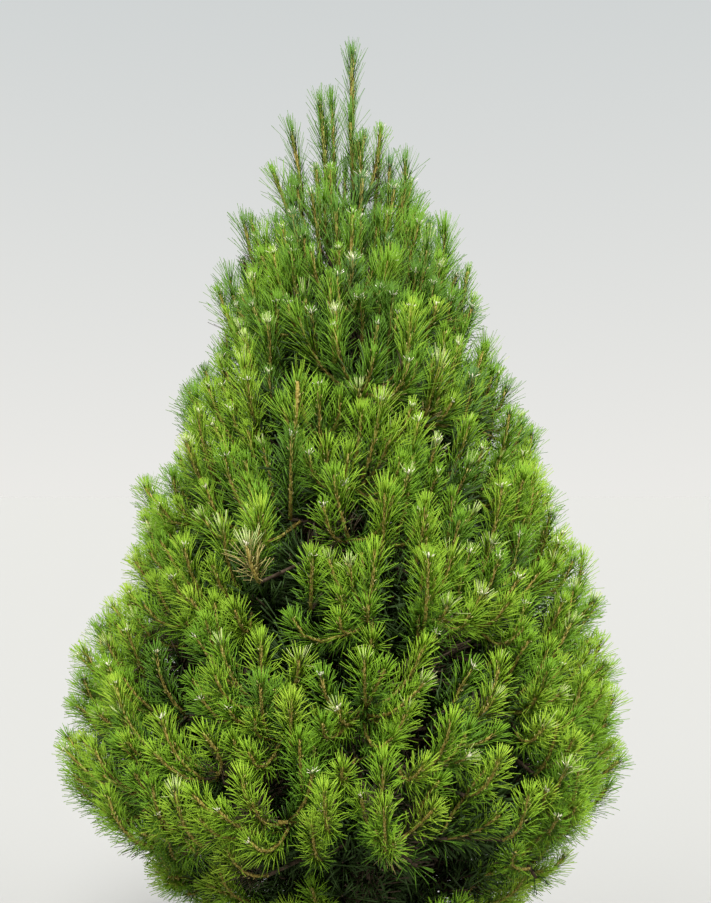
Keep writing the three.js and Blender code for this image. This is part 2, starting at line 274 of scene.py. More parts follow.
# Growth beyond the source: by its rule, finer shoots stand between its own and leave their twigs, and old
# sprays fill the shade inside each sector
growth = {
    "lifts": [(0.2, 24), (0.5, 38), (0.85, 50), (1.5, 64), (2.2, 74), (3.0, 80)],  # height, how steep
    "liftLimits": (5, 86),  # how far under the source's own lift, and the steepest
    "liftSwing": 7,
    "bearingSwing": 14,
    "sway": (13, 34),  # degrees of lift and of bearing by which neighbouring shoots lean the same way
    "swayScale": 3.3,
    "relief": 0.062,  # how far the foliage swells and draws back
    "reliefScale": 4.2,
    "reliefContrast": 1.3,
    "twigBend": (0.12, 0.06),  # how far a twig follows its limb and sags, as shares of its span
    "leadSag": 0.26,  # how far a leading shoot hangs before it turns up
    "sagLoss": 0.75,  # the share of that lost towards the top
    "leastApart": (0.060, 0.048),  # of the finer shoots' ends, low and high in the crown
    "upright": (0.9, 0.38),  # how much of a difference in height counts there
    "finerRoot": (0.75, 0.93),  # where on the twig of a leading shoot they start
    "finerLength": (0.2, 0.29),
    "finerSwing": (0.85, 1.15),
    "finerDepth": 0.07,
    "finerHandle": 0.72,
    "deepSprays": (42, 22),  # in a sector of the lowest and of the highest tier
    "deepWidth": 0.97,
    "deepBand": (0.04, 0.96),
    "deepReach": (0.1, 0.84),  # shares of the way to the outline
    "deepLength": (0.16, 0.24),
    "deepScale": ((2.2, 4.6), (1.8, 2.5)),  # length and width of needles, near the trunk and outside
    "deepSmall": (0.4, 0.5),  # and how much smaller these are under the skirt
    "deadWithin": 0.45,  # nearer the trunk than this share the sprays are dead and brown, a brown darkened as painted shade
    "needleOverhang": (0.03, 0.0),  # how far needles reach past the stem
    "topDrop": 0.08,  # and past those round the leader
    "climb": (2.75, 1.15),  # the height from which shoots are like the top's, and how late they turn so
    "bulge": (0.045, 0.86, 0.3),  # how far the crown leans to the left low down, where, and over what height
    "tuck": (0.1, 0.5, 0.09),  # and the share by which its skirt draws in
}


def bulged(point):
    def bump(reach, middle, spread):
        return reach * math.exp(-((heightOf(point) - middle) / spread) ** 2)

    lean, tuck = bump(*growth["bulge"]), bump(*growth["tuck"])
    return Vector((point.x * (1 - tuck) - lean, point.y * (1 - tuck), point.z))


def drawnBack(tip):  # swells and dents of the foliage
    swell = noise.noise(tip * growth["reliefScale"])
    dent = growth["relief"] * clamp(0.5 + growth["reliefContrast"] * swell, 0, 1)
    return tip - Vector((tip.x, tip.y, 0)).normalized() * dent


def steepened(direction, tip, random):  # about the same bearing, at the lift that shoots have at that height
    lift = float(np.interp(heightOf(tip), *zip(*growth["lifts"])))
    lean = noise.noise_vector(tip * growth["swayScale"])
    lift += growth["sway"][0] * lean.x + swing(random, growth["liftSwing"])
    under, steepest = growth["liftLimits"]
    lift = math.radians(clamp(lift, math.degrees(math.asin(direction.z)) - under, steepest))
    bearing = growth["sway"][1] * lean.y + swing(random, growth["bearingSwing"])
    bearing = math.atan2(direction.y, direction.x) + math.radians(bearing)
    return Vector((math.cos(bearing) * math.cos(lift), math.sin(bearing) * math.cos(lift), math.sin(lift)))


def twigRoot(limb, firstTwig, foot):  # the last place on the limb from which the shoot lies ahead
    root = share = firstTwig
    while share < crown["lastTwig"]:
        ahead = foot - bend(limb, share)
        if ahead.dot(heading(limb, share)) > crown["twigForward"] * ahead.length:
            root = share
        share += 0.05
    return root


def growTwig(sector, foot):  # leaves the limb along it and bends round to the foot of the shoot
    share = twigRoot(sector["limb"], sector["firstTwig"], foot)
    root = bend(sector["limb"], share)
    span = (foot - root).length
    follow, sag = growth["twigBend"]
    handle = (root + foot) / 2 + heading(sector["limb"], share) * span * follow - up * span * sag
    return (root, handle, foot)


def makeCluster(sector, twig, shoot, deep=False):
    return {"sector": sector, "twig": twig, "shoots": [shoot], "deep": deep}


def growCluster(sector, lead, tip, random, layer="lead"):
    direction = steepened(lead["direction"], tip, random)
    foot = tip - direction * lead["length"]
    stemEnd = tip - direction * lerp(*growth["needleOverhang"], sector["climb"])
    hang = direction.cross(up.cross(direction).normalized()).normalized()
    sag = hang * growth["leadSag"] * (1 - sector["climb"] * growth["sagLoss"]) * lead["length"]
    shoot = {"path": (foot, (foot + stemEnd) / 2 - sag, stemEnd), "layer": layer}
    return makeCluster(sector, growTwig(sector, foot), shoot)


def growFiner(sector, clusters, random):  # between the leading shoots of the clusters, and out of their twigs
    ends = [cluster["shoots"][0]["path"][2] for cluster in clusters]
    least, upright = lerp(*growth["leastApart"], sector["climb"]), lerp(*growth["upright"], sector["climb"])
    overhang = lerp(*growth["needleOverhang"], sector["climb"])
    for finer in sectorShoots(sector, finerRule):
        tip = drawnBack(bulged(finer["tip"]))
        direction = steepened(finer["direction"], tip, random)
        end = tip - direction * (overhang + growth["finerDepth"] * random() ** 2)
        gaps = [end - other for other in ends]
        if min(Vector((gap.x, gap.y, gap.z * upright)).length for gap in gaps) < least:
            continue
        ends.append(end)
        nearest = min(clusters, key=lambda cluster: (cluster["shoots"][0]["path"][0] - end).length)
        root = bend(nearest["twig"], lerp(*growth["finerRoot"], random()))
        span = (end - root).length
        length = lerp(*growth["finerLength"], sector["climb"]) * lerp(*growth["finerSwing"], random())
        path = (root, end - direction * span * growth["finerHandle"], end)
        if span > length:  # bare below
            share = 1 - length / span
            bare = (root, lerp(root, path[1], share), bend(path, share))
            nearest["bare"] = nearest.get("bare", []) + [bare]
            path = (bare[2], lerp(path[1], end, share), end)
        nearest["shoots"].append({"path": path, "layer": "finer"})


def growDeep(sector, random):
    clusters = []
    count = round(lerp(*growth["deepSprays"], sector["climb"]))
    nearest, farthest = growth["deepReach"]
    nearScale, farScale = (Vector(scale) for scale in growth["deepScale"])
    offset, smallest = growth["deepSmall"]
    for i in range(count):
        across = growth["deepWidth"] * (2 * ((goldenShare * (i + 0.5)) % 1) - 1)
        outwards = math.sqrt(lerp(nearest ** 2, farthest ** 2, (plasticShare * i + 0.5 * random()) % 1))
        upwards = lerp(*growth["deepBand"], (i + random()) / count)
        tip = pointIn(sector, across, outwards, upwards)
        root = bend(sector["limb"], sector["firstTwig"])
        way = ((tip - root).normalized() + Vector((tip.x, tip.y, 0)).normalized() + up * 0.5).normalized()
        foot = tip - way * lerp(*growth["deepLength"], random())
        layer = "dead" if outwards < growth["deadWithin"] else "deep"
        scale = nearScale.lerp(farScale, outwards) * clamp(offset + tip.z - crown["soilLevel"], smallest, 1)
        shoot = {"path": (foot, (foot + tip) / 2, tip), "layer": layer, "scale": scale}
        clusters.append(makeCluster(sector, growTwig(sector, foot), shoot, deep=True))
    return clusters


standouts = {
    "straw": {"length": 0.14, "tips": [(-0.30, -0.78, 1.45)]},  # a tuft that has turned
    "standout": {  # the bright shoots that stand out in the photo: x, y, height
        "length": 0.25,
        "tips": [
            (-0.25, -0.86, 1.20),
            (0.09, -0.99, 0.91),
            (0.46, -0.59, 1.61),
            (0.19, -0.48, 2.18),
            (0.22, -0.73, 1.57),
            (-0.71, -0.63, 1.03),
            (-0.48, -0.91, 0.80),
            (-0.16, -0.93, 1.05),
            (0.41, -0.92, 0.89),
            (0.49, -0.90, 0.79),
            (-0.07, -1.02, 0.83),
            (0.09, -0.64, 1.87),
            (0.10, -0.72, 1.60),
            (0.28, -0.92, 0.99),
            (0.22, -0.80, 1.42),
            (-0.11, -0.82, 1.42),
            (-0.27, -0.70, 1.54),
            (-0.16, -0.66, 1.93),
        ],
    },
}


def growStandouts(random):
    clusters = []
    for layer in ("standout", "straw"):
        for place in standouts[layer]["tips"]:
            tip = fromSoil(*place)
            nearest = min(sectors, key=lambda sector: (bend(sector["limb"], 0.9) - tip).length)
            direction = Vector((place[0], place[1], 0.1)).normalized()
            lead = {"direction": direction, "length": standouts[layer]["length"]}
            clusters.append(growCluster(nearest, lead, tip, random, layer))
    return clusters


candles = {
    # the slim upright shoots of the top third, as the photo shows them: x, y, height of the end and the foot
    "places": [
        (-0.115, -0.05, 3.010, -0.098, -0.04, 2.780),
        (-0.078, 0.08, 3.120, -0.070, 0.06, 2.860),
        (-0.221, 0.00, 2.916, -0.192, 0.00, 2.722),
        (-0.286, -0.02, 2.767, -0.220, -0.01, 2.588),
        (-0.396, 0.00, 2.584, -0.352, 0.00, 2.414),
        (-0.378, 0.06, 2.619, -0.343, 0.04, 2.446),
        (-0.275, -0.05, 2.563, -0.258, -0.04, 2.384),
        (0.044, -0.05, 2.900, 0.033, -0.04, 2.731),
        (0.022, -0.12, 2.847, 0.029, -0.09, 2.676),
        (0.101, 0.05, 2.860, 0.081, 0.04, 2.640),
        (0.140, 0.00, 2.796, 0.121, 0.00, 2.584),
        (0.217, 0.00, 2.737, 0.183, 0.00, 2.521),
        (0.283, 0.10, 2.573, 0.258, 0.08, 2.385),
        (0.345, 0.00, 2.477, 0.322, 0.00, 2.296),
        (0.425, 0.00, 2.414, 0.392, 0.00, 2.215),
        (-0.448, 0.00, 2.436, -0.404, 0.00, 2.251),
        (-0.480, -0.03, 2.319, -0.431, -0.02, 2.163),
        (-0.093, -0.20, 2.664, -0.088, -0.15, 2.501),
        (-0.010, -0.22, 2.622, 0.000, -0.17, 2.476),
        (-0.128, -0.12, 2.750, -0.115, -0.09, 2.589),
        (0.028, -0.27, 2.528, 0.035, -0.20, 2.379),
        (-0.042, -0.33, 2.411, -0.050, -0.25, 2.207),
        (0.150, -0.27, 2.405, 0.146, -0.20, 2.243),
        (0.093, -0.38, 2.266, 0.089, -0.29, 2.119),
        (0.031, -0.42, 2.232, 0.028, -0.32, 2.094),
        (0.213, -0.30, 2.340, 0.203, -0.22, 2.177),
        (0.275, -0.28, 2.303, 0.263, -0.21, 2.138),
        (-0.247, -0.35, 2.229, -0.244, -0.26, 2.088),
        (-0.131, -0.42, 2.180, -0.119, -0.32, 2.047),
        (-0.275, -0.26, 2.328, -0.263, -0.20, 2.182),
        (-0.339, -0.20, 2.345, -0.326, -0.15, 2.196),
        (-0.161, -0.30, 2.459, -0.151, -0.22, 2.308),
        (-0.221, -0.25, 2.413, -0.208, -0.19, 2.260),
        (-0.345, -0.04, 2.520, -0.310, -0.03, 2.350),
        (-0.400, 0.04, 2.450, -0.355, 0.03, 2.280),
        (-0.330, -0.09, 2.450, -0.300, -0.07, 2.280),
        (-0.430, -0.06, 2.370, -0.385, -0.05, 2.200),
    ],
    "front": 0.1,  # those further forward than this have one like them at the back
    "back": (0.5, 0.06),  # by how much these differ in turn and in height
    "fillers": 54,  # more of them, all round
    "fillHeights": (2.2, 2.72),
    "fillCrowding": 0.8,
    "fillReach": (0.72, 1),
    "fillInset": 0.02,
    "fillLength": 0.18,
    "fillLift": 77,
    "fillTurn": 0.4,
    "grown": {"placed": 0.2, "other": 0.35},  # share of them whose tip needles have grown out
    "drop": (0.01, 0.07),  # how far below its place a young one and a grown one end
    "stretch": 1.45,  # of each shoot's length, as its lower part is hidden
    "sweep": 0.75,  # how steeply the twig to it rises from the trunk
    "rootDrop": 0.05,
    "twigBend": (0.2, 0.1),  # outwards and down, of its reach and its span
    "bow": 0.03,
}


def growCandle(end, foot, random, share):
    foot = end + (foot - end) * candles["stretch"]
    height = heightOf(foot) - math.hypot(foot.x, foot.y) * candles["sweep"] - candles["rootDrop"]
    root = trunkCentre(min(height, crown["trunkHeight"]))
    root.z = crown["soilLevel"] + height
    outwards, sag = candles["twigBend"]
    handle = (root + foot) / 2 + Vector((foot.x, foot.y, 0)) * outwards - up * (foot - root).length * sag
    bow = Vector((random() - 0.5, random() - 0.5, 0)) * candles["bow"]
    grown = random() < share
    end = end - up * candles["drop"][1 if grown else 0]
    shoot = {"path": (foot, (foot + end) / 2 + bow, end), "layer": "candle", "grown": grown}
    return makeCluster(top, (root, handle, foot), shoot)


def growCandles(random):
    clusters = []
    placed, other = candles["grown"]["placed"], candles["grown"]["other"]
    turnBy, dropBy = candles["back"]
    for place in candles["places"]:
        end, foot = fromSoil(*place[:3]), fromSoil(*place[3:])
        clusters.append(growCandle(end, foot, random, placed))
        if end.y < -candles["front"]:
            turn = Matrix.Rotation(math.pi + random() * turnBy - turnBy / 2, 4, "Z")
            drop = Vector((0, 0, dropBy * (random() - 0.5)))
            clusters.append(growCandle(turn @ end + drop, turn @ foot + drop, random, other))
    lift = math.radians(candles["fillLift"])
    for i in range(candles["fillers"]):
        share = ((i + random()) / candles["fillers"]) ** candles["fillCrowding"]
        height = lerp(*candles["fillHeights"], share)
        bearing = goldenTurn * i + random() * candles["fillTurn"]
        outward = Vector((math.cos(bearing), math.sin(bearing), 0))
        reach = outlineRadius(height) * lerp(*candles["fillReach"], random()) - candles["fillInset"]
        end = trunkCentre(crown["trunkHeight"]) + outward * reach
        end.z = crown["soilLevel"] + height
        way = outward * math.cos(lift) + up * math.sin(lift)
        clusters.append(growCandle(end, end - way * candles["fillLength"], random, other))
    return clusters


hollows = {
    # gaps between the boughs where the photo shows the dark inside of the crown: x, y, height, radius
    # the smallest only add dark sprays where light came through
    "places": [
        (0.295, -0.875, 1.08, 0.080),
        (-0.38, -0.74, 1.34, 0.058),
        (-0.29, -0.79, 1.31, 0.045),
        (-0.17, -0.73, 1.55, 0.050),
        (-0.17, -0.55, 2.03, 0.036),
        (-0.33, -0.67, 1.58, 0.033),
        (0.00, -0.76, 1.52, 0.034),
        (-0.20, -0.98, 0.83, 0.034),
        (0.33, -0.91, 0.66, 0.082),
        (-0.09, -0.89, 0.55, 0.054),
        (0.50, -0.86, 0.87, 0.025),
        (0.15, -0.84, 1.27, 0.025),
        (0.59, -0.69, 1.11, 0.026),
        (-0.57, -0.77, 0.96, 0.023),
        (-0.21, -0.92, 1.01, 0.022),
        (-0.48, -0.86, 0.88, 0.022),
        (0.01, -0.52, 2.12, 0.034),
        (0.10, -0.56, 2.02, 0.030),
        (-0.13, -0.84, 1.28, 0.033),
        (0.30, -0.88, 1.05, 0.033),
        (-0.39, -0.84, 0.60, 0.048),
        (-0.36, -0.79, 0.50, 0.055),
        (-0.23, -0.85, 0.54, 0.060),
        (0.02, -0.88, 0.51, 0.060),
        (0.13, -0.88, 0.53, 0.060),
        (0.24, -0.84, 0.51, 0.060),
        (0.43, -0.71, 0.45, 0.046),
        (0.55, -0.63, 0.46, 0.033),
        (-0.19, -0.80, 1.33, 0.030),
        (-0.09, -0.50, 2.21, 0.026),
        (0.00, -0.94, 1.00, 0.027),
        (-0.93, -0.53, 1.04, 0.012),
        (-0.25, -0.82, 1.29, 0.034),
        (-0.08, -0.85, 1.28, 0.030),
        (-0.15, -0.83, 1.31, 0.030),
        (-0.90, -0.52, 1.00, 0.012),
        (-0.89, -0.54, 1.02, 0.012),
    ],
    "depth": 0.15,
    "mouth": 0.6,  # how far they run outwards too, as a share of the depth
    "slope": 0.37,  # they run down inwards low in the crown and up high in it
    "levelAt": 1.6,
    "watched": (0.5, 0.9, 1.12),  # the shares of a shoot that stay out of them
    "behind": (0.27, 0.5),  # how far in the dark sprays lie that close them
    "least": 2,  # such sprays for each, and one more for each step of radius
    "step": 0.02,
    "scatter": 2.4,
    "sprayHalf": 0.1,
    "sprayRise": (0.4, 1.6),
}


def inHollow(point):
    for x, y, height, radius in hollows["places"]:
        mouth = fromSoil(x, y, height)
        inward = Vector((-x, -y, 0)).normalized() + up * (height - hollows["levelAt"]) * hollows["slope"]
        inward *= hollows["depth"]
        share = clamp((point - mouth).dot(inward) / inward.length_squared, -hollows["mouth"], 1)
        if (point - mouth - inward * share).length < radius:
            return True
    return False


def hidesHollow(shoot):
    if shoot["layer"] not in ("lead", "finer", "candle"):
        return False
    return any(inHollow(bend(shoot["path"], share)) for share in hollows["watched"])


def growBehind(random):  # dark sprays that close the hollows against the light from behind
    clusters = []
    for x, y, height, radius in hollows["places"]:
        mouth = fromSoil(x, y, height)
        inward = Vector((-x, -y, 0)).normalized()
        nearest = min(sectors, key=lambda sector: (bend(sector["limb"], 0.7) - mouth).length)
        for i in range(hollows["least"] + int(radius / hollows["step"])):
            spot = mouth + inward * lerp(*hollows["behind"], random())
            spot += Vector((random() - 0.5, random() - 0.5, random() - 0.5)) * hollows["scatter"] * radius
            aside = inward.cross(up) * (1 if i % 2 else -1)
            way = (aside + up * lerp(*hollows["sprayRise"], random()) - inward * 0.3).normalized()
            path = (spot - way * hollows["sprayHalf"], spot, spot + way * hollows["sprayHalf"])
            shoot = {"path": path, "layer": "dead" if i % 2 else "deep", "scale": growth["deepScale"][1]}
            clusters.append(makeCluster(nearest, growTwig(nearest, path[0]), shoot, deep=True))
    return clusters


def climbOf(path):  # from 0 at the soil to 1 at the top
    height, power = growth["climb"]
    return clamp(heightOf(path[2]) / height, 0, 1) ** power


def growCrown():
    clusters = []
    for sector in sectors:
        random = seededRandom(5000 + 50 * sector["tier"] + sector["index"])
        leading = []
        for lead in sectorShoots(sector, shootRule):
            leading.append(growCluster(sector, lead, drawnBack(bulged(lead["tip"])), random))
        growFiner(sector, leading, random)
        clusters += leading + growDeep(sector, random)
    random = seededRandom(9000)
    clusters += [growCluster(top, lead, lead["tip"] - up * growth["topDrop"], random) for lead in topShoots()]
    clusters += growStandouts(random) + growCandles(random) + growBehind(random)
    for index, cluster in enumerate(clusters):  # each with a seed of its own, so that a change stays local
        cluster["seed"] = 100000 + 100 * index
        for i, shoot in enumerate(cluster["shoots"]):
            shoot["climb"] = climbOf(shoot["path"])
            shoot["seed"] = cluster["seed"] + 1 + i
        cluster["shoots"] = [shoot for shoot in cluster["shoots"] if not hidesHollow(shoot)]
    return clusters


sectors = [makeSector(tier, i) for tier, count in enumerate(crown["sectors"]) for i in range(count)]
top = makeTop()
clusters = growCrown()
print("crown:", len(clusters), "twigs,", sum(len(cluster["shoots"]) for cluster in clusters), "shoots")


def meshPiece(name, points, faces):  # many small things, joined from arrays of points and triangles
    mesh = bpy.data.meshes.new(name)
    mesh.vertices.add(len(points))
    mesh.vertices.foreach_set("co", np.ascontiguousarray(points, np.float32).ravel())
    mesh.loops.add(faces.size)
    mesh.loops.foreach_set("vertex_index", np.ascontiguousarray(faces, np.int32).ravel())
    mesh.polygons.add(len(faces))
    mesh.polygons.foreach_set("loop_start", np.arange(0, faces.size, 3, dtype=np.int32))
    mesh.update(calc_edges=True)
    piece = bpy.data.objects.new(name, mesh)
    bpy.context.scene.collection.objects.link(piece)
    return piece


class Gatherer:  # collects points and triangles of small things that become one piece
    def __init__(self):
        self.points, self.faces, self.count = [], [], 0

    def add(self, points, faces):
        self.points.append(points)
        self.faces.append(faces + self.count)
        self.count += len(points)

    def piece(self, name):
        return meshPiece(name, np.concatenate(self.points), np.concatenate(self.faces))


def unit(vectors):
    return vectors / np.maximum(np.linalg.norm(vectors, axis=-1, keepdims=True), 1e-12)


def pathRings(path, shares):  # points of a curve, its way there and two directions square to it
    a, b, c = (np.array(p) for p in path)
    s = np.asarray(shares)[:, None]
    points = a * (1 - s) ** 2 + b * 2 * s * (1 - s) + c * s ** 2
    ways = unit((b - a) * (1 - s) + (c - b) * s)
    middle = ways[len(ways) // 2]
    reference = np.array((0.0, 0, 1)) if abs(middle[2]) < 0.9 else np.array((1.0, 0, 0))
    side = unit(np.cross(reference, ways))
    return points, ways, side, np.cross(ways, side)


def tubeFaces(rings, sides):
    faces = []
    for ring in range(rings - 1):
        for i in range(sides):
            j = (i + 1) % sides
            a, b = ring * sides + i, ring * sides + j
            faces += [(a, b, b + sides), (a, b + sides, a + sides)]
    last = (rings - 1) * sides
    for i in range(1, sides - 1):
        faces += [(0, i + 1, i), (last, last + i, last + i + 1)]
    return np.array(faces)


def addTube(gatherer, path, radii, sides, shares=None):
    shares = np.linspace(0, 1, len(radii)) if shares is None else shares
    points, ways, side, other = pathRings(path, shares)
    angles = np.arange(sides) * 2 * math.pi / sides
    ring = side[:, None] * np.cos(angles)[None, :, None] + other[:, None] * np.sin(angles)[None, :, None]
    tube = points[:, None] + ring * np.asarray(radii)[:, None, None]
    gatherer.add(tube.reshape(-1, 3), tubeFaces(len(radii), sides))


sliverFaces = np.array([(0, 1, 2), (1, 0, 3), (0, 2, 3), (2, 1, 3)])


def sliverCorners(foot, end, across, flat):
    return np.stack((foot - across, foot + across, end + flat, end - flat), axis=1)


def addSlivers(gatherer, corners):  # closed needles of four faces
    count = len(corners)
    faces = (np.arange(count)[:, None, None] * 4 + sliverFaces[None]).reshape(-1, 3)
    gatherer.add(corners.reshape(-1, 3), faces)


tints = {
    "Sunlit": (0.290, 0.440, 0.024),
    "Spring": (0.222, 0.375, 0.014),
    "Grass": (0.166, 0.320, 0.009),
    "Meadow": (0.128, 0.272, 0.008),
    "Forest": (0.084, 0.195, 0.009),
    "Blue": (0.082, 0.185, 0.036),
    "Shade": (0.024, 0.053, 0.005),
    "Straw": (0.400, 0.330, 0.110),
    # a painted highlight: the nearly white needles at the tips of sprays
    "PaleHighlight": (0.430, 0.500, 0.180),
    # dead needles' brown, darkened as painted shade
    "DeadShaded": (0.055, 0.036, 0.019),
}
# the brighter tint paints light on the heads of the sprays, the darker one paints shade at their feet
brighter = {"Forest": "Meadow", "Meadow": "Grass", "Grass": "Spring", "Spring": "Sunlit", "Straw": "PaleHighlight"}
darker = {"Sunlit": "Grass", "Spring": "Meadow", "Grass": "Forest", "Meadow": "Forest", "Blue": "Forest"}
dealing = {
    "limits": [(0.02, "Sunlit"), (0.24, "Spring"), (0.62, "Grass"), (0.9, "Meadow"), (math.inf, "Forest")],
    "darkening": (0.28, 0.3),  # of the draw towards the top, and more for the slim shoots there
    "standoutLimit": 0.6,
    "blueFrom": (0.6, 0.7),  # how far up blue sprays start, and blue candles
    "blueGain": (0.9, 3),
    "blueCandles": (0.3, 0.8),  # least and greatest share of them
    "blueLimit": 0.75,
}

# Needles stand in pairs up each stem, and reach forward more and more towards its tip
needle = {
    "length": (0.061, 0.108),  # low and high in the crown
    "lengthSwing": (0.85, 1.12),
    "bell": (0.82, 0.24, 2.2, 0.8),  # longest past the stem's middle: least, gain, how far on and how broad
    "width": 0.0026,
    "thickness": 0.0018,
    "footSpread": (50, 27),  # degrees from the stem at its foot
    "tipSpread": (35, 8),
    "spreadLimits": (3, 85),
    "jitter": 13,  # degrees by which they stray from that
    "pairSplit": 7,
    "density": (375, 245),  # pairs on a metre of young stem, low and high in the crown
    "first": 0.03,  # share of the stem up to the first pair
    "towardsTip": 1.35,  # how much denser they stand there
    "turnSwing": 0.2,
    "pairTurn": 0.1,
    "closing": (0.93, 0.3, 1.1),  # share of the stem past which they close round the bud, and how far
    "grownShare": 0.4,  # of the sprays high in the crown, those whose last needles have grown out
    "youngFrom": (0.4, 0.95),  # in the others, the share of the stem past which they have yet to
    "youngLength": (0.95, 0.3),  # share of the full length at the tip, low and high in the crown
    "oldPairs": {"deep": 19, "dead": 17, "bare": 9},
    "bareScale": (1.1, 1.6),  # length and width of the old needles on the wood behind the shoots
    "bareFrom": 0.55,
    "tuftFrom": (0.55, 1.05),  # share of the stem past which the needles are a brighter tint, painted light on the head of the spray
    "tuftRise": (0.3, 0.6),  # and how much later that starts at the top, and on slim shoots there
    "footUntil": (0.15, 0.5),  # and up to which they are a darker one, painted shade at its foot
    "highlightShare": 0.75,  # of the sprays high in the crown, those whose last needles are nearly white with a painted highlight
    "highlightFrom": (0.84, 1.0),
    "highlightNeedles": 0.6,
    "turnedShare": 0.17,  # of the sprays whose oldest needles have turned brown
    "turnedStraw": 0.12,  # and of these, those that are straw-coloured
    "margin": (0.068, -0.09),  # how far past the crown's outline a needle may end, and one in the shade
    "marginUntil": 2.0,  # above this height only those in the shade are held in
    "lowest": 0.12,
    "highest": 0.03,  # over the tree's height
}
stem = {
    "foot": (0.0058, 0.0086),  # radii low and high in the crown
    "tip": (0.0042, 0.0060),
    "sides": 5,
    "bow": 0.014,  # more bent than this, it gets more rings
    "leader": (0.0095, 0.0085, 0.0060),
}
twig = {
    "foot": {"deep": 0.0045, "open": 0.0075, "top": 0.006},
    "end": {"deep": 0.0035, "open": 0.0056, "top": 0.0056},
    "sides": {"deep": 3, "open": 5, "top": 5},
    "waist": 0.85,
    "bare": (0.0046, 0.0045, 0.0044),
    "deepStem": (0.0035, 0.003),
}
sheath = {  # the papery feet of the needles, short and straw-coloured, close to each young stem
    "count": 15,
    "length": (0.010, 0.019),
    "width": 0.0036,
    "lean": (0.35, 0.9),
    "from": 0.2,  # share of the stem
    "out": 0.8,  # share of its radius
}
bud = {  # pale and resinous, in a star of short new needles, their cream partly resin and partly a painted glint
    "length": 0.016,
    "radius": 0.0042,
    "rings": [(0.0, 0.5), (0.35, 1.0), (0.7, 0.75), (1.0, 0.12)],  # share of its length, share of its radius
    "share": (0.09, 0.95),  # of the shoots low and high in the crown that show one
    "size": (0.8, 1.15),  # low and high in the crown
    "sizeSwing": (0.8, 1.25),
    "spikes": 7,
    "spikeSpread": (12, 66),
    "spikeLength": 0.021,
    "spikeSwing": (0.7, 1.3),
    "spikeTurn": 0.4,
    "spikeWidth": 0.0030,
}
sprays = {name: Gatherer() for name in tints}
stems, twigs, buds, sheaths = Gatherer(), Gatherer(), Gatherer(), Gatherer()


def needleSpray(path, climb, pairs, numbers, scale=(1.0, 1.0), slim=1.0, grown=False):
    count = pairs * 2
    step = np.repeat((np.arange(pairs) + 0.5) / pairs, 2)
    shares = needle["first"] + (1 - needle["first"]) * (1 - (1 - step) ** needle["towardsTip"])
    points, ways, side, other = pathRings(path, shares)
    half = np.tile((-1.0, 1.0), pairs)
    stray = numbers.uniform(-needle["turnSwing"], needle["turnSwing"], count)
    turn = np.repeat(np.arange(pairs) * goldenTurn, 2) + stray + half * needle["pairTurn"]
    foot, tip = lerp(*needle["footSpread"], climb ** 2), lerp(*needle["tipSpread"], climb ** 2)
    spread = foot + (tip - foot) * shares ** 2 + numbers.normal(0, needle["jitter"], count)
    closedFrom, *closed = needle["closing"]
    spread *= np.where(shares > closedFrom, numbers.uniform(*closed, count), 1)
    spread = np.radians(np.clip(spread * slim + half * needle["pairSplit"] / 2, *needle["spreadLimits"]))
    out = side * np.cos(turn)[:, None] + other * np.sin(turn)[:, None]
    way = unit(ways * np.cos(spread)[:, None] + out * np.sin(spread)[:, None])
    least, gain, onwards, breadth = needle["bell"]
    bell = least + gain * np.sin(np.pi * np.clip(shares, 0, 1) ** onwards) ** breadth
    young = 0.99 if grown else numbers.uniform(*needle["youngFrom"])
    bell *= 1 - (1 - lerp(*needle["youngLength"], climb)) * np.clip((shares - young) / (1 - young), 0, 1)
    length = lerp(*needle["length"], climb) * scale[0] * bell * numbers.uniform(*needle["lengthSwing"], count)
    base = points + out * stem["tip"][0] * 0.7
    end = base + way * length[:, None]
    across = unit(np.cross(way, np.array((0.31, 0.17, 0.93)) + numbers.uniform(-0.5, 0.5, (count, 3))))
    flat = np.cross(way, across)
    w, t = needle["width"] * scale[1] / 2, needle["thickness"] * scale[1] / 2
    return sliverCorners(base, end, across * w, flat * t), end, shares


# leaves out needles that would reach out of the crown
def keepWithin(corners, end, shares, margin=needle["margin"][0]):
    height = end[:, 2] - crown["soilLevel"]
    limit = np.array([outlineRadius(h) for h in height]) + margin
    inside = (np.hypot(end[:, 0], end[:, 1]) < limit) | (height > needle["marginUntil"]) & (margin > 0)
    kept = inside & (height > needle["lowest"]) & (height < crown["treeHeight"] + needle["highest"])
    return corners[kept], shares[kept]


def isSlim(shoot):  # the upright shoots round the leader
    return shoot["layer"] == "candle" or shoot["climb"] > 0.9


def tintOf(shoot, numbers):  # darker and bluer towards the top
    layer, climb = shoot["layer"], shoot["climb"]
    # the sprays deep inside are painted shade: a dark green, and a darkened brown for the dead ones
    if layer in ("deep", "dead"):
        return "Shade" if layer == "deep" else "DeadShaded"
    darkening, slimDarkening = dealing["darkening"]
    draw = numbers.random() + darkening * climb ** 3 + (slimDarkening * climb ** 4 if isSlim(shoot) else 0)
    if layer == "standout":
        return "Spring" if draw < dealing["standoutLimit"] else "Grass"
    if layer == "straw":
        return "Straw"
    kind = 1 if layer == "candle" else 0
    blueShare = (climb - dealing["blueFrom"][kind]) * dealing["blueGain"][kind]
    if layer == "candle":
        blueShare = clamp(blueShare, *dealing["blueCandles"])
    if numbers.random() < blueShare:
        return "Blue" if draw < dealing["blueLimit"] else "Forest"
    return next(tint for limit, tint in dealing["limits"] if draw < limit)
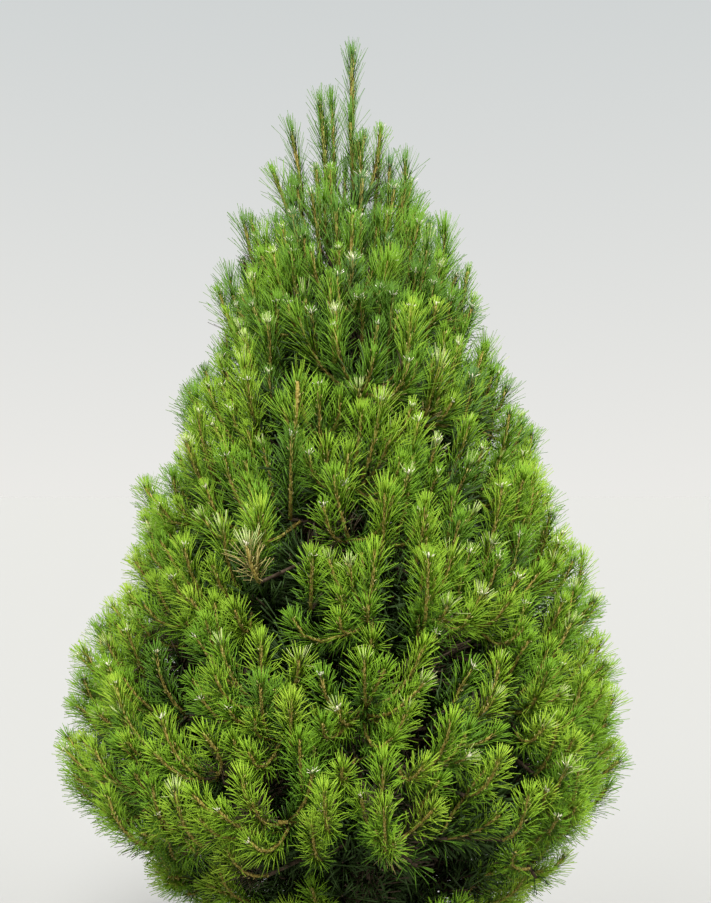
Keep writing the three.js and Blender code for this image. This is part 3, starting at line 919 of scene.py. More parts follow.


# a darker tint at the foot, painted shade, and a brighter one at the tip, painted light
def dealNeedles(shoot, deep, corners, shares, numbers):
    climb, slim = shoot["climb"], isSlim(shoot)
    tint = tintOf(shoot, numbers)
    tuft = shares > numbers.uniform(*needle["tuftFrom"]) + needle["tuftRise"][1 if slim else 0] * climb ** 2
    foot = shares < numbers.uniform(*needle["footUntil"])
    # a painted highlight: some needles at the tips of sprays high in the crown are nearly white
    getsHighlight = numbers.random() < needle["highlightShare"] * climb
    highlighted = shares > (numbers.uniform(*needle["highlightFrom"]) if getsHighlight else 1)
    highlighted = highlighted & (numbers.random(len(shares)) < needle["highlightNeedles"]) & (not deep and not slim)
    footTint = darker.get(tint, tint)
    # some sprays have turned at the foot, a few to straw and the rest to a brown darkened as painted shade
    if not deep and numbers.random() < needle["turnedShare"]:
        footTint = "Straw" if numbers.random() < needle["turnedStraw"] else "DeadShaded"
    addSlivers(sprays[footTint], corners[foot])
    addSlivers(sprays[tint], corners[~foot & ~tuft])
    addSlivers(sprays[brighter.get(tint, tint)], corners[tuft & ~highlighted])
    addSlivers(sprays["PaleHighlight"], corners[highlighted])


def addBud(path, numbers, scale=1.0):
    tip, way = np.array(path[2]), unit(np.array(path[2]) - np.array(path[1]))
    end = tip + way * bud["length"] * scale
    straight = (Vector(tip - way * 0.002), Vector((tip + end) / 2), Vector(end))
    rings = np.array(bud["rings"])
    addTube(buds, straight, rings[:, 1] * bud["radius"] * scale, 5, rings[:, 0])
    count = bud["spikes"]
    points, ways, side, other = pathRings(straight, np.full(count, 0.1))
    stray = numbers.uniform(-bud["spikeTurn"], bud["spikeTurn"], count)
    turn = np.arange(count) * 2 * math.pi / count + stray
    spread = np.radians(numbers.uniform(*bud["spikeSpread"], count))[:, None]
    out = side * np.cos(turn)[:, None] + other * np.sin(turn)[:, None]
    spike = unit(ways * np.cos(spread) + out * np.sin(spread))
    spikeEnd = points + spike * bud["spikeLength"] * scale * numbers.uniform(*bud["spikeSwing"], (count, 1))
    across = unit(np.cross(spike, out)) * bud["spikeWidth"] / 2
    flat = unit(np.cross(spike, across)) * bud["spikeWidth"] / 4
    # the star's needles share the buds' cream, partly a painted glint
    addSlivers(buds, sliverCorners(points, spikeEnd, across, flat))


def addSheaths(path, radius, numbers):
    count = sheath["count"]
    points, ways, side, other = pathRings(path, numbers.uniform(sheath["from"], 1, count))
    turn = numbers.uniform(0, 2 * math.pi, count)[:, None]
    out = side * np.cos(turn) + other * np.sin(turn)
    way = unit(ways + out * numbers.uniform(*sheath["lean"], (count, 1)))
    points = points + out * radius * sheath["out"]
    end = points + way * numbers.uniform(*sheath["length"], (count, 1))
    across = unit(np.cross(way, out)) * sheath["width"] / 2
    flat = unit(np.cross(way, across)) * sheath["width"] / 4
    addSlivers(sheaths, sliverCorners(points, end, across, flat))


def addOldNeedles(path, numbers):  # on the wood behind a shoot
    spray = needleSpray(path, climbOf(path), needle["oldPairs"]["bare"], numbers, needle["bareScale"])
    addSlivers(sprays["Shade" if numbers.random() < 0.5 else "Forest"], keepWithin(*spray)[0])


def addTwig(cluster):
    path = cluster["twig"]
    kind = "deep" if cluster["deep"] else "open" if cluster["sector"]["climb"] < 0.9 else "top"
    foot = twig["foot"][kind]
    addTube(twigs, path, (foot, foot * twig["waist"], twig["end"][kind]), twig["sides"][kind])
    numbers = np.random.default_rng(cluster["seed"])
    if not cluster["deep"]:
        share, handle, end = needle["bareFrom"], path[1], path[2]
        addOldNeedles((bend(path, share), lerp(handle, end, share), end), numbers)
    for bare in cluster.get("bare", []):
        addTube(twigs, bare, twig["bare"], 4)
        addOldNeedles(bare, numbers)


def addShoot(shoot, deep):
    numbers = np.random.default_rng(shoot["seed"])
    path, climb = shoot["path"], shoot["climb"]
    foot, handle, tip = path
    pairs = round((tip - foot).length * lerp(*needle["density"], climb))
    pairs = needle["oldPairs"].get(shoot["layer"], pairs)
    grown = shoot.get("grown", numbers.random() < needle["grownShare"] * climb ** 2)
    spray = needleSpray(path, climb, pairs, numbers, shoot.get("scale", (1.0, 1.0)), grown=grown)
    corners, shares = keepWithin(*spray, needle["margin"][1 if deep else 0])
    dealNeedles(shoot, deep, corners, shares, numbers)
    if deep:
        addTube(twigs, path, twig["deepStem"], 3)
        return
    footRadius, tipRadius = (lerp(*stem[part], climb ** 2) for part in ("foot", "tip"))
    rings = 5 if (handle - (foot + tip) / 2).length > stem["bow"] else 3
    addTube(stems, path, lerp(footRadius, tipRadius, np.linspace(0, 1, rings) ** 0.5), stem["sides"])
    addSheaths(path, tipRadius, numbers)
    if not grown and (shoot["layer"] == "candle" or numbers.random() < lerp(*bud["share"], climb ** 1.4)):
        addBud(path, numbers, numbers.uniform(*bud["sizeSwing"]) * lerp(*bud["size"], climb))


def addLeader():
    head = top["limb"][2]
    tip = Vector((head.x, head.y, crown["soilLevel"] + crown["treeHeight"] - crown["leader"][1]))
    path = (head, (head + tip) / 2, tip)
    numbers = np.random.default_rng(7)
    corners, shares = keepWithin(*needleSpray(path, 1.0, 90, numbers, slim=0.75))
    addSlivers(sprays["Blue"], corners[::2])
    addSlivers(sprays["Forest"], corners[1::2])
    addTube(stems, path, stem["leader"], 7)
    addSheaths(path, 0.008, numbers)
    addBud(path, numbers)


for cluster in clusters:
    addTwig(cluster)
    for shoot in cluster["shoots"]:
        addShoot(shoot, cluster["deep"])
addLeader()
print("needles:", sum(len(faces) for gatherer in sprays.values() for faces in gatherer.faces) // 4)


def raiseRings(name, rings, sides):  # a ring that is extruded, moved and resized step by step
    bpy.ops.object.select_all(action="DESELECT")
    centre, radius = rings[0]
    bpy.ops.mesh.primitive_circle_add(vertices=sides, radius=radius, fill_type="NGON", location=centre)
    piece = bpy.context.object
    piece.name = piece.data.name = name
    bpy.ops.object.transform_apply(location=True, rotation=True, scale=True)
    bpy.ops.object.mode_set(mode="EDIT")
    bpy.ops.mesh.select_all(action="SELECT")
    for nextCentre, nextRadius in rings[1:]:
        step = Vector(nextCentre) - Vector(centre)
        bpy.ops.mesh.extrude_region_move(TRANSFORM_OT_translate={"value": step})
        size = nextRadius / radius
        bpy.ops.transform.resize(value=(size, size, 1), center_override=nextCentre)
        centre, radius = nextCentre, nextRadius
    bpy.ops.mesh.select_all(action="SELECT")
    bpy.ops.mesh.normals_make_consistent(inside=False)
    bpy.ops.object.mode_set(mode="OBJECT")
    return piece


def smooth(piece, degrees):
    bpy.ops.object.select_all(action="DESELECT")
    piece.select_set(True)
    bpy.context.view_layer.objects.active = piece
    bpy.ops.object.shade_smooth_by_angle(angle=math.radians(degrees))


pot = {  # radius and height of each ring, from the middle of the base up the wall and down the inside
    "sides": 112,
    "base": [(0.300, 0.004), (0.304, 0.0), (0.3165, 0.0), (0.3215, 0.0022)],
    "wall": [(0.3262, 0.01), (0.3350, 0.085), (0.3362, 0.092), (0.3484, 0.2), (0.3496, 0.207), (0.3640, 0.33),
             (0.3652, 0.337), (0.3752, 0.43), (0.3768, 0.452)],
    "band": [(0.3800, 0.4605), (0.3920, 0.4665), (0.3938, 0.472), (0.3948, 0.49), (0.3960, 0.508)],
    "lip": [(0.3968, 0.514), (0.3955, 0.5185), (0.3925, 0.52), (0.3850, 0.52), (0.3805, 0.5175),
            (0.3785, 0.512)],
    "inside": [(0.3765, 0.49), (0.3735, 0.45), (0.3180, 0.009), (0.05, 0.009)],
    # shallow grip flutes in the band, and drain slots low in the wall: each inset has a thickness and a depth
    "flutes": {
        "count": 28,
        "heights": (0.472, 0.508),
        "beyond": 0.385,
        "insets": [(0.003, 0), (0.0025, -0.0022)],
    },
    "drains": {
        "count": 8,
        "heights": (0.012, 0.08),
        "beyond": 0.32,
        "insets": [(0.012, 0), (0.001, -0.006)],
    },
    "edge": 0.0009,
    "edgeAngle": 32,
}


def sinkFaces(piece, rule):  # two faces wide, and evenly spaced round the wall
    step = 2 * math.pi / pot["sides"]
    every = pot["sides"] // rule["count"]
    low, high = rule["heights"]
    bpy.ops.object.mode_set(mode="EDIT")
    bpy.ops.mesh.select_mode(type="FACE")
    bpy.ops.mesh.select_all(action="DESELECT")
    mesh = bmesh.from_edit_mesh(piece.data)
    for face in mesh.faces:
        middle = face.calc_center_median()
        column = int(math.atan2(middle.y, middle.x) % (2 * math.pi) / step)
        face.select = low < middle.z < high and middle.xy.length > rule["beyond"] and column % every < 2
    bmesh.update_edit_mesh(piece.data)
    for thickness, depth in rule["insets"]:
        bpy.ops.mesh.inset(thickness=thickness, depth=depth)
    bpy.ops.object.mode_set(mode="OBJECT")


def buildPot():
    profile = pot["base"] + pot["wall"] + pot["band"] + pot["lip"] + pot["inside"]
    piece = raiseRings("nurseryPot", [((0, 0, height), radius) for radius, height in profile], pot["sides"])
    sinkFaces(piece, pot["flutes"])
    sinkFaces(piece, pot["drains"])
    bevel = piece.modifiers.new("Bevel", "BEVEL")
    bevel.width = pot["edge"]
    bevel.segments = 2
    bevel.limit_method = "ANGLE"
    bevel.angle_limit = math.radians(pot["edgeAngle"])
    bpy.context.view_layer.objects.active = piece
    bpy.ops.object.modifier_apply(modifier=bevel.name)
    smooth(piece, 35)
    return piece


soil = {
    "crown": 0.012,  # how much higher the soil is at the trunk than at the wall
    "wallRadius": 0.3742,
    "rings": 30,
    "sides": 120,
    "lumps": 0.006,
    "lumpScale": 26,
    "broadScale": 7,
    "mix": (0.55, 0.35),  # of the lumps and the broad swells
    "sink": 0.004,  # all of it, and as much again by the wall
    "sinkFrom": 0.352,
    "jog": 0.002,
    "jogScale": 60,
}


def soilHeight(x, y):  # the uneven surface of the soil
    radius = math.hypot(x, y)
    share = clamp((radius - 0.1) / (soil["wallRadius"] - 0.1), 0, 1)
    height = crown["soilLevel"] - soil["crown"] * share ** 1.4
    lumps = noise.fractal(Vector((x * soil["lumpScale"], y * soil["lumpScale"], 3.1)), 0.9, 2.1, 4)
    broad = noise.noise(Vector((x * soil["broadScale"], y * soil["broadScale"], 8.4)))
    uneven = soil["lumps"] * (soil["mix"][0] * lumps + soil["mix"][1] * broad)
    return height + uneven - soil["sink"] - soil["sink"] * clamp((radius - soil["sinkFrom"]) / 0.02, 0, 1)


def buildSoil():
    wall = soil["wallRadius"]
    rings = [((0, 0, 0.0095), 0.317), ((0, 0, 0.44), 0.3715)]  # the foot and the side, just inside the wall
    rings += [((0, 0, 0.452), wall * (1 - i / soil["rings"]) ** 0.8) for i in range(soil["rings"])]
    piece = raiseRings("pottingSoil", rings, soil["sides"])
    for vertex in piece.data.vertices:
        if vertex.co.z > 0.45:
            jog = noise.noise_vector(vertex.co * soil["jogScale"]) * soil["jog"]
            vertex.co.x += jog.x
            vertex.co.y += jog.y
            vertex.co.z = soilHeight(vertex.co.x, vertex.co.y)
    smooth(piece, 60)
    return piece


litter = {
    "needles": 280,
    "needleLength": (0.06, 0.1),
    "needleWidth": 0.003,
    "needleLift": (0.002, 0.005),
    "chips": 170,
    "chipSize": (0.007, 0.019),
    "chipWidth": (0.5, 0.9),  # as a share of its size
    "chipThickness": (0.003, 0.006),
    "chipTilt": 0.35,
    "chipRough": (-0.32, 0.12),  # how far its corners move in and out
    "clear": (0.085, 0.358),  # from the trunk's foot to the wall
}
chipCorners = np.array([(x, y, z) for z in (-0.5, 0.5) for y in (-0.5, 0.5) for x in (-0.5, 0.5)])
chipFaces = np.array([(0, 2, 3), (0, 3, 1), (4, 5, 7), (4, 7, 6), (0, 1, 5), (0, 5, 4), (2, 6, 7), (2, 7, 3),
                      (0, 4, 6), (0, 6, 2), (1, 3, 7), (1, 7, 5)])


def litterPlaces(count, numbers):
    inner, outer = litter["clear"]
    radius = np.sqrt(numbers.uniform(inner ** 2, outer ** 2, count))
    turn = numbers.uniform(0, 2 * math.pi, count)
    return radius * np.cos(turn), radius * np.sin(turn), numbers.uniform(0, 2 * math.pi, count)


def buildFallenNeedles():  # brown ones that lie on the soil
    numbers = np.random.default_rng(41)
    gatherer = Gatherer()
    slivers = []
    inner, outer = litter["clear"]
    for x, y, turn in zip(*litterPlaces(litter["needles"], numbers)):
        reach = numbers.uniform(*litter["needleLength"]) / 2
        along = np.array((math.cos(turn), math.sin(turn), 0.0))
        ends = []
        for side in (-1, 1):
            end = np.array((x, y, 0.0)) + along * side * reach
            radius = math.hypot(end[0], end[1])
            end *= clamp(radius, inner, outer + 0.004) / radius
            end[2] = soilHeight(end[0], end[1]) + numbers.uniform(*litter["needleLift"])
            ends.append(end)
        half = np.array((-along[1], along[0], 0.0)) * litter["needleWidth"] / 2
        rise = np.array((0, 0, litter["needleWidth"] / 4))
        slivers.append((ends[0] - half, ends[0] + half, ends[1] + rise, ends[1] - rise))
    addSlivers(gatherer, np.array(slivers))
    return gatherer.piece("fallenNeedles")


def buildBarkChips():  # crumbs of pine bark in the top of the mix
    numbers = np.random.default_rng(43)
    gatherer = Gatherer()
    for x, y, turn in zip(*litterPlaces(litter["chips"], numbers)):
        length = numbers.uniform(*litter["chipSize"])
        thickness = numbers.uniform(*litter["chipThickness"])
        size = Matrix.Diagonal((length, length * numbers.uniform(*litter["chipWidth"]), thickness))
        tilt = Matrix.Rotation(numbers.uniform(-litter["chipTilt"], litter["chipTilt"]), 3, "X")
        spin = Matrix.Rotation(turn, 3, "Z")
        shape = chipCorners * (1 + numbers.uniform(*litter["chipRough"], chipCorners.shape))
        points = shape @ np.array(spin @ tilt @ size).T
        gatherer.add(points + (x, y, soilHeight(x, y) + thickness * 0.3), chipFaces)
    return gatherer.piece("barkChips")


bark = {
    "sides": 72,
    "relief": 0.0052,  # depth of the furrows at the foot
    "furrowScale": (62, 17),  # round the trunk and along it
    "crackScale": (150, 62),
    "mix": (0.9, 0.45, 0.6),  # of the long furrows and the cracks, and how far in both start
    "below": 0.02,  # how far the trunk goes on under the soil
    "steps": (0.006, 0.03),  # between rings, at the foot and higher up
    "collar": (0.07, 0.022),  # share by which the trunk swells at each limb, and over what height
    "inset": 0.985,
    "headTaper": 0.72,  # of the leader's stem
    "ridges": (0.1, 5, 0.7),  # over the roots: their share of the radius, number and turn
    "knots": [(46, 0.0011), (130, 0.0006)],  # of the limbs: scale and height
    "limbSegments": 22,
}


def barkRelief(point, radius, height):  # plates and long furrows, finer towards the tip
    across, along = bark["furrowScale"]
    furrow = abs(noise.noise(Vector((point.x * across, point.y * across, height * along)))) ** 0.6
    across, along = bark["crackScale"]
    crack = noise.noise(Vector((point.x * across, point.y * across, height * along + 5)))
    furrows, cracks, start = bark["mix"]
    return bark["relief"] * (radius / trunk["footRadius"]) * (furrows * furrow + cracks * crack - start)


def trunkRings():
    head = heightOf(top["limb"][2])
    heights, height = [-bark["below"]], 0.0
    while height < head:
        heights.append(height)
        height += lerp(*bark["steps"], clamp(height / 0.9, 0, 1))
    heights.append(head)
    whorls = [heightOf(sector["limb"][0]) for sector in sectors]
    swell, spread = bark["collar"]
    rings = []
    for height in heights:
        centre = trunkCentre(clamp(height, 0, crown["trunkHeight"]))
        centre.z = crown["soilLevel"] + height
        radius = trunkRadius(max(height, 0))
        if height > crown["trunkHeight"]:
            share = (height - crown["trunkHeight"]) / (head - crown["trunkHeight"])
            radius = lerp(trunk["topRadius"], trunk["topRadius"] * bark["headTaper"], share)
        collar = max(math.exp(-((height - whorl) / spread) ** 2) for whorl in whorls)
        rings.append((centre, radius * (1 + swell * collar) * bark["inset"]))
    return rings


def buildTrunk():
    piece = raiseRings("trunkBark", trunkRings(), bark["sides"])
    share, count, turn = bark["ridges"]
    for vertex in piece.data.vertices:
        height = heightOf(vertex.co)
        centre = trunkCentre(clamp(height, 0, crown["trunkHeight"]))
        out = Vector((vertex.co.x - centre.x, vertex.co.y - centre.y, 0))
        fading = share * math.exp(-max(height, 0) / trunk["flareHeight"])
        ridge = fading * math.sin(count * math.atan2(out.y, out.x) + turn)
        lift = barkRelief(vertex.co, out.length, height) + ridge * out.length
        if out.length > 1e-5:
            vertex.co += out.normalized() * lift
    smooth(piece, 70)
    return piece


def limbRadius(sector, share):
    return lerp(*crown["limbRadius"], sector["climb"]) * lerp(1, crown["limbTaper"], share)


def buildLimbs():  # one bezier curve for each limb, thinner outwards, turned into a mesh
    parts = []
    for sector in sectors:
        start, handle, end = sector["limb"]
        bpy.ops.object.select_all(action="DESELECT")
        bpy.ops.curve.primitive_bezier_curve_add(radius=1)
        curve = bpy.context.object
        first, last = curve.data.splines[0].bezier_points
        for point in (first, last):
            point.handle_left_type = point.handle_right_type = "FREE"
        first.co, last.co = start, end
        first.handle_left = start - (handle - start) / 3
        first.handle_right = start + (handle - start) * 2 / 3
        last.handle_left = end + (handle - end) * 2 / 3
        last.handle_right = end + (end - handle) / 3
        first.radius, last.radius = limbRadius(sector, 0), limbRadius(sector, 1)
        curve.data.bevel_depth = 1
        curve.data.bevel_resolution = 3
        curve.data.resolution_u = bark["limbSegments"]
        curve.data.use_fill_caps = True
        bpy.ops.object.convert(target="MESH")
        parts.append(bpy.context.object)
    for part in parts:
        part.select_set(True)
    bpy.context.view_layer.objects.active = parts[0]
    bpy.ops.object.join()
    piece = bpy.context.object
    piece.name = piece.data.name = "limbBark"
    bpy.ops.object.transform_apply(location=True, rotation=True, scale=True)
    for vertex, normal in [(v, v.normal.copy()) for v in piece.data.vertices]:
        knots = [noise.noise(vertex.co * scale) * height for scale, height in bark["knots"]]
        vertex.co += normal * sum(knots)
    smooth(piece, 70)
    return piece


# Node groups that the materials share
def newGroup(name, inputs, output, more=()):  # three numbers and an alpha are a colour
    group = bpy.data.node_groups.new(name, "ShaderNodeTree")
    for label, value in inputs.items():
        kind = "NodeSocketColor" if isinstance(value, tuple) else "NodeSocketFloat"
        group.interface.new_socket(name=label, in_out="INPUT", socket_type=kind).default_value = value
    for label in (output, *more):
        kind = "NodeSocketColor" if label == "Color" else "NodeSocketFloat"
        group.interface.new_socket(name=label, in_out="OUTPUT", socket_type=kind)
    return group, group.nodes.new("NodeGroupInput").outputs, group.nodes.new("NodeGroupOutput").inputs


def connect(tree, value, socket):  # a socket is linked, a number or a colour is set
    if isinstance(value, bpy.types.NodeSocket):
        tree.links.new(value, socket)
    else:
        socket.default_value = value


def addNode(tree, kind, settings=None, **values):
    node = tree.nodes.new(kind)
    for key, value in (settings or {}).items():
        setattr(node, key, value)
    for key, value in values.items():
        connect(tree, value, node.inputs[key])
    return node


def calculate(tree, operation, *values):
    node = addNode(tree, "ShaderNodeMath", {"operation": operation})
    for value, socket in zip(values, node.inputs):
        connect(tree, value, socket)
    return node.outputs["Value"]


def scaled(tree, value, factor, offset=0.0):
    return calculate(tree, "MULTIPLY_ADD", value, factor, offset)


def between(tree, value, low, high, kind="LINEAR"):  # 0 at the low level, 1 at the high one
    node = addNode(tree, "ShaderNodeMapRange", {"interpolation_type": kind}, Value=value)
    connect(tree, low, node.inputs["From Min"])
    connect(tree, high, node.inputs["From Max"])
    return node.outputs["Result"]


def mixColor(tree, factor, first, second):
    mix = addNode(tree, "ShaderNodeMix", {"data_type": "RGBA"})
    connect(tree, factor, mix.inputs[0])
    for index, color in ((6, first), (7, second)):
        connect(tree, (*color, 1) if isinstance(color, tuple) else color, mix.inputs[index])
    return mix.outputs[2]


def noiseOf(tree, place, scale, detail, output="Fac"):
    return addNode(tree, "ShaderNodeTexNoise", Vector=place, Scale=scale, Detail=detail).outputs[output]


def objectPlace(tree):
    return addNode(tree, "ShaderNodeTexCoord").outputs["Object"]


def stretchedPlace(tree, stretch):  # object coordinates, squeezed or stretched upwards
    scale = addNode(tree, "ShaderNodeCombineXYZ", X=1.0, Y=1.0, Z=stretch).outputs["Vector"]
    return addNode(tree, "ShaderNodeMapping", Vector=objectPlace(tree), Scale=scale).outputs["Vector"]


def heightPart(tree, vector):
    return addNode(tree, "ShaderNodeSeparateXYZ", Vector=vector).outputs["Z"]


def makeSpeckle():  # soft blotches, as a mask between two levels of a noise
    levels = {"Scale": 10.0, "Stretch": 1.0, "Detail": 4.0, "Low": 0.35, "High": 0.65}
    group, given, result = newGroup("speckle", levels, "Mask")
    grain = noiseOf(group, stretchedPlace(group, given["Stretch"]), given["Scale"], given["Detail"])
    group.links.new(between(group, grain, given["Low"], given["High"]), result["Mask"])
    return group


def makeTones():  # three shades of one material
    shades = {"Dark": (0.1, 0.1, 0.1, 1), "Middle": (0.2, 0.2, 0.2, 1), "Light": (0.3, 0.3, 0.3, 1)}
    group, given, result = newGroup("tones", {**shades, "Scale": 10.0, "Stretch": 1.0}, "Color")
    grain = noiseOf(group, stretchedPlace(group, given["Stretch"]), given["Scale"], 5.0)
    first = mixColor(group, between(group, grain, 0.3, 0.5), given["Dark"], given["Middle"])
    second = mixColor(group, between(group, grain, 0.5, 0.72), first, given["Light"])
    group.links.new(second, result["Color"])
    return group


def makeFurrows():  # plates between cracks
    sizes = {"Scale": 20.0, "Stretch": 0.3, "Warp": 0.02, "Width": 0.12}
    group, given, result = newGroup("furrows", sizes, "Cracks", ("Plates", "Height"))
    place = stretchedPlace(group, given["Stretch"])
    wobble = noiseOf(group, place, 48.0, 5.0, "Color")
    shift = addNode(group, "ShaderNodeVectorMath", {"operation": "SCALE"}, Vector=wobble, Scale=given["Warp"])
    warped = addNode(group, "ShaderNodeVectorMath", {"operation": "ADD"}, Vector=place)
    group.links.new(shift.outputs["Vector"], warped.inputs[1])
    cell = {"Vector": warped.outputs["Vector"], "Scale": given["Scale"]}
    edges = addNode(group, "ShaderNodeTexVoronoi", {"feature": "DISTANCE_TO_EDGE"}, **cell)
    cells = addNode(group, "ShaderNodeTexVoronoi", **cell)
    split = addNode(group, "ShaderNodeSeparateColor", Color=cells.outputs["Color"])
    rim = between(group, edges.outputs["Distance"], 0.0, given["Width"], "SMOOTHSTEP")
    flakes = noiseOf(group, place, 110.0, 4.0)
    group.links.new(calculate(group, "SUBTRACT", 1.0, rim), result["Cracks"])
    group.links.new(split.outputs["Red"], result["Plates"])
    group.links.new(calculate(group, "ADD", rim, scaled(group, flakes, 0.35)), result["Height"])
    return group


def makeDust():  # lies on faces that look up
    group, given, result = newGroup("settledDust", {"Amount": 0.5, "Scale": 20.0}, "Mask")
    normal = addNode(group, "ShaderNodeNewGeometry").outputs["Normal"]
    facing = between(group, heightPart(group, normal), 0.25, 1.0)
    patches = between(group, noiseOf(group, objectPlace(group), given["Scale"], 6.0), 0.35, 0.7)
    both = calculate(group, "MULTIPLY", facing, patches)
    group.links.new(calculate(group, "MULTIPLY", both, given["Amount"]), result["Mask"])
    return group


groups = {"speckle": makeSpeckle(), "tones": makeTones(), "furrows": makeFurrows(), "settledDust": makeDust()}
print("node groups:", ", ".join(groups))


def newMaterial(name):
    material = bpy.data.materials.new(name)
    material.use_nodes = True
    return material, material.node_tree, material.node_tree.nodes["Principled BSDF"]


def useGroup(tree, group, **values):
    return addNode(tree, "ShaderNodeGroup", {"node_tree": groups[group]}, **values)


def speckle(tree, scale, detail, low=0.3, high=0.7, stretch=1.0):
    values = {"Scale": scale, "Stretch": stretch, "Detail": detail, "Low": low, "High": high}
    return useGroup(tree, "speckle", **values).outputs["Mask"]


def tonesOf(tree, tones, scale, stretch=1.0):
    dark, middle, light = ((*tone, 1) for tone in tones)
    node = useGroup(tree, "tones", Dark=dark, Middle=middle, Light=light, Scale=scale, Stretch=stretch)
    return node.outputs["Color"]


def setBump(tree, shader, height, strength, distance):
    bump = addNode(tree, "ShaderNodeBump", Strength=strength, Distance=distance, Height=height)
    tree.links.new(bump.outputs["Normal"], shader.inputs["Normal"])


def setRoughness(tree, shader, mask, low, high):
    tree.links.new(scaled(tree, mask, high - low, low), shader.inputs["Roughness"])


potLook = {
    "tones": ((0.011, 0.012, 0.012), (0.017, 0.018, 0.019), (0.027, 0.028, 0.028)),
    "toneScale": 5.0,
    "toneStretch": 0.5,
    "scuff": (0.075, 0.074, 0.07),
    "scuffShare": 0.38,
    "specular": 0.38,
    "splash": (0.085, 0.06, 0.042),
    "splashShare": 0.75,
    "splashHeight": 0.16,
    "dust": (0.26, 0.23, 0.19),
    "dustShare": 0.7,
    "roughness": (0.36, 0.62),
    "bump": (0.22, 0.0006),
}


def potMaterial():
    material, tree, shader = newMaterial("potPlastic")
    look = potLook
    color = tonesOf(tree, look["tones"], look["toneScale"], look["toneStretch"])
    scuffs = speckle(tree, 95.0, 8.0, 0.56, 0.74, 0.06)
    color = mixColor(tree, scaled(tree, scuffs, look["scuffShare"]), color, look["scuff"])
    low = between(tree, heightPart(tree, objectPlace(tree)), look["splashHeight"], 0.0)
    soiled = calculate(tree, "MULTIPLY", low, speckle(tree, 34.0, 8.0, 0.47, 0.6))  # splashed round the foot
    color = mixColor(tree, scaled(tree, soiled, look["splashShare"]), color, look["splash"])
    dust = useGroup(tree, "settledDust", Amount=look["dustShare"], Scale=30.0).outputs["Mask"]
    tree.links.new(mixColor(tree, dust, color, look["dust"]), shader.inputs["Base Color"])
    shader.inputs["Specular IOR Level"].default_value = look["specular"]
    setRoughness(tree, shader, speckle(tree, 14.0, 6.0), *look["roughness"])
    setBump(tree, shader, speckle(tree, 700.0, 2.0), *look["bump"])
    return material


soilLook = {
    "tones": ((0.012, 0.008, 0.005), (0.034, 0.022, 0.014), (0.075, 0.048, 0.030)),
    "toneScale": 42.0,
    "crumb": (0.13, 0.075, 0.042),
    "crumbShare": 0.7,
    "crackShare": 0.6,
    "perlite": (0.72, 0.70, 0.64),
    "roughness": (0.82, 0.98),
    "bump": (0.8, 0.004),
}


def soilMaterial():
    material, tree, shader = newMaterial("pottingMix")
    look = soilLook
    crumbs = useGroup(tree, "furrows", Scale=95.0, Stretch=1.0, Warp=0.006, Width=0.2).outputs
    bright = scaled(tree, between(tree, crumbs["Plates"], 0.72, 0.95), look["crumbShare"])
    color = mixColor(tree, bright, tonesOf(tree, look["tones"], look["toneScale"]), look["crumb"])
    color = mixColor(tree, speckle(tree, 150.0, 0.0, 0.74, 0.77), color, look["perlite"])
    color = mixColor(tree, scaled(tree, crumbs["Cracks"], look["crackShare"]), color, look["tones"][0])
    tree.links.new(color, shader.inputs["Base Color"])
    setRoughness(tree, shader, crumbs["Plates"], *look["roughness"])
    setBump(tree, shader, crumbs["Height"], *look["bump"])
    return material


barkLook = {
    "trunkBark": {
        "tones": ((0.075, 0.052, 0.038), (0.165, 0.125, 0.095), (0.29, 0.245, 0.20)),
        "toneStretch": 0.35,
        "crack": (0.030, 0.021, 0.016),
        "plateScale": 88.0,
        "plateStretch": 0.42,
        "moss": (0.11, 0.125, 0.06),
        "mossShare": 0.3,
        "depth": 0.0035,
    },
    "limbBark": {
        "tones": ((0.034, 0.024, 0.014), (0.068, 0.049, 0.028), (0.12, 0.09, 0.055)),
        "toneStretch": 1.0,
        "crack": (0.022, 0.014, 0.01),
        "plateScale": 85.0,
        "plateStretch": 1.3,
        "moss": (0.10, 0.11, 0.055),
        "mossShare": 0.2,
        "depth": 0.0018,
    },
    "both": {"toneScale": 30.0, "warp": 0.022, "crackWidth": 0.2, "plateShare": 0.35, "crackShare": 0.6,
             "specular": 0.15, "roughness": (0.78, 0.95), "bump": 0.85},
}


def barkMaterial(name):
    material, tree, shader = newMaterial(name)
    look = {**barkLook["both"], **barkLook[name]}
    sizes = {"Scale": look["plateScale"], "Stretch": look["plateStretch"]}
    plates = useGroup(tree, "furrows", **sizes, Warp=look["warp"], Width=look["crackWidth"]).outputs
    color = tonesOf(tree, look["tones"], look["toneScale"], look["toneStretch"])
    color = mixColor(tree, scaled(tree, plates["Plates"], look["plateShare"]), color, look["tones"][2])
    moss = speckle(tree, 21.0, 6.0, 0.52, 0.68)
    color = mixColor(tree, scaled(tree, moss, look["mossShare"]), color, look["moss"])
    color = mixColor(tree, scaled(tree, plates["Cracks"], look["crackShare"]), color, look["crack"])
    tree.links.new(color, shader.inputs["Base Color"])
    shader.inputs["Specular IOR Level"].default_value = look["specular"]
    setRoughness(tree, shader, plates["Plates"], *look["roughness"])
    setBump(tree, shader, plates["Height"], look["bump"], look["depth"])
    return material


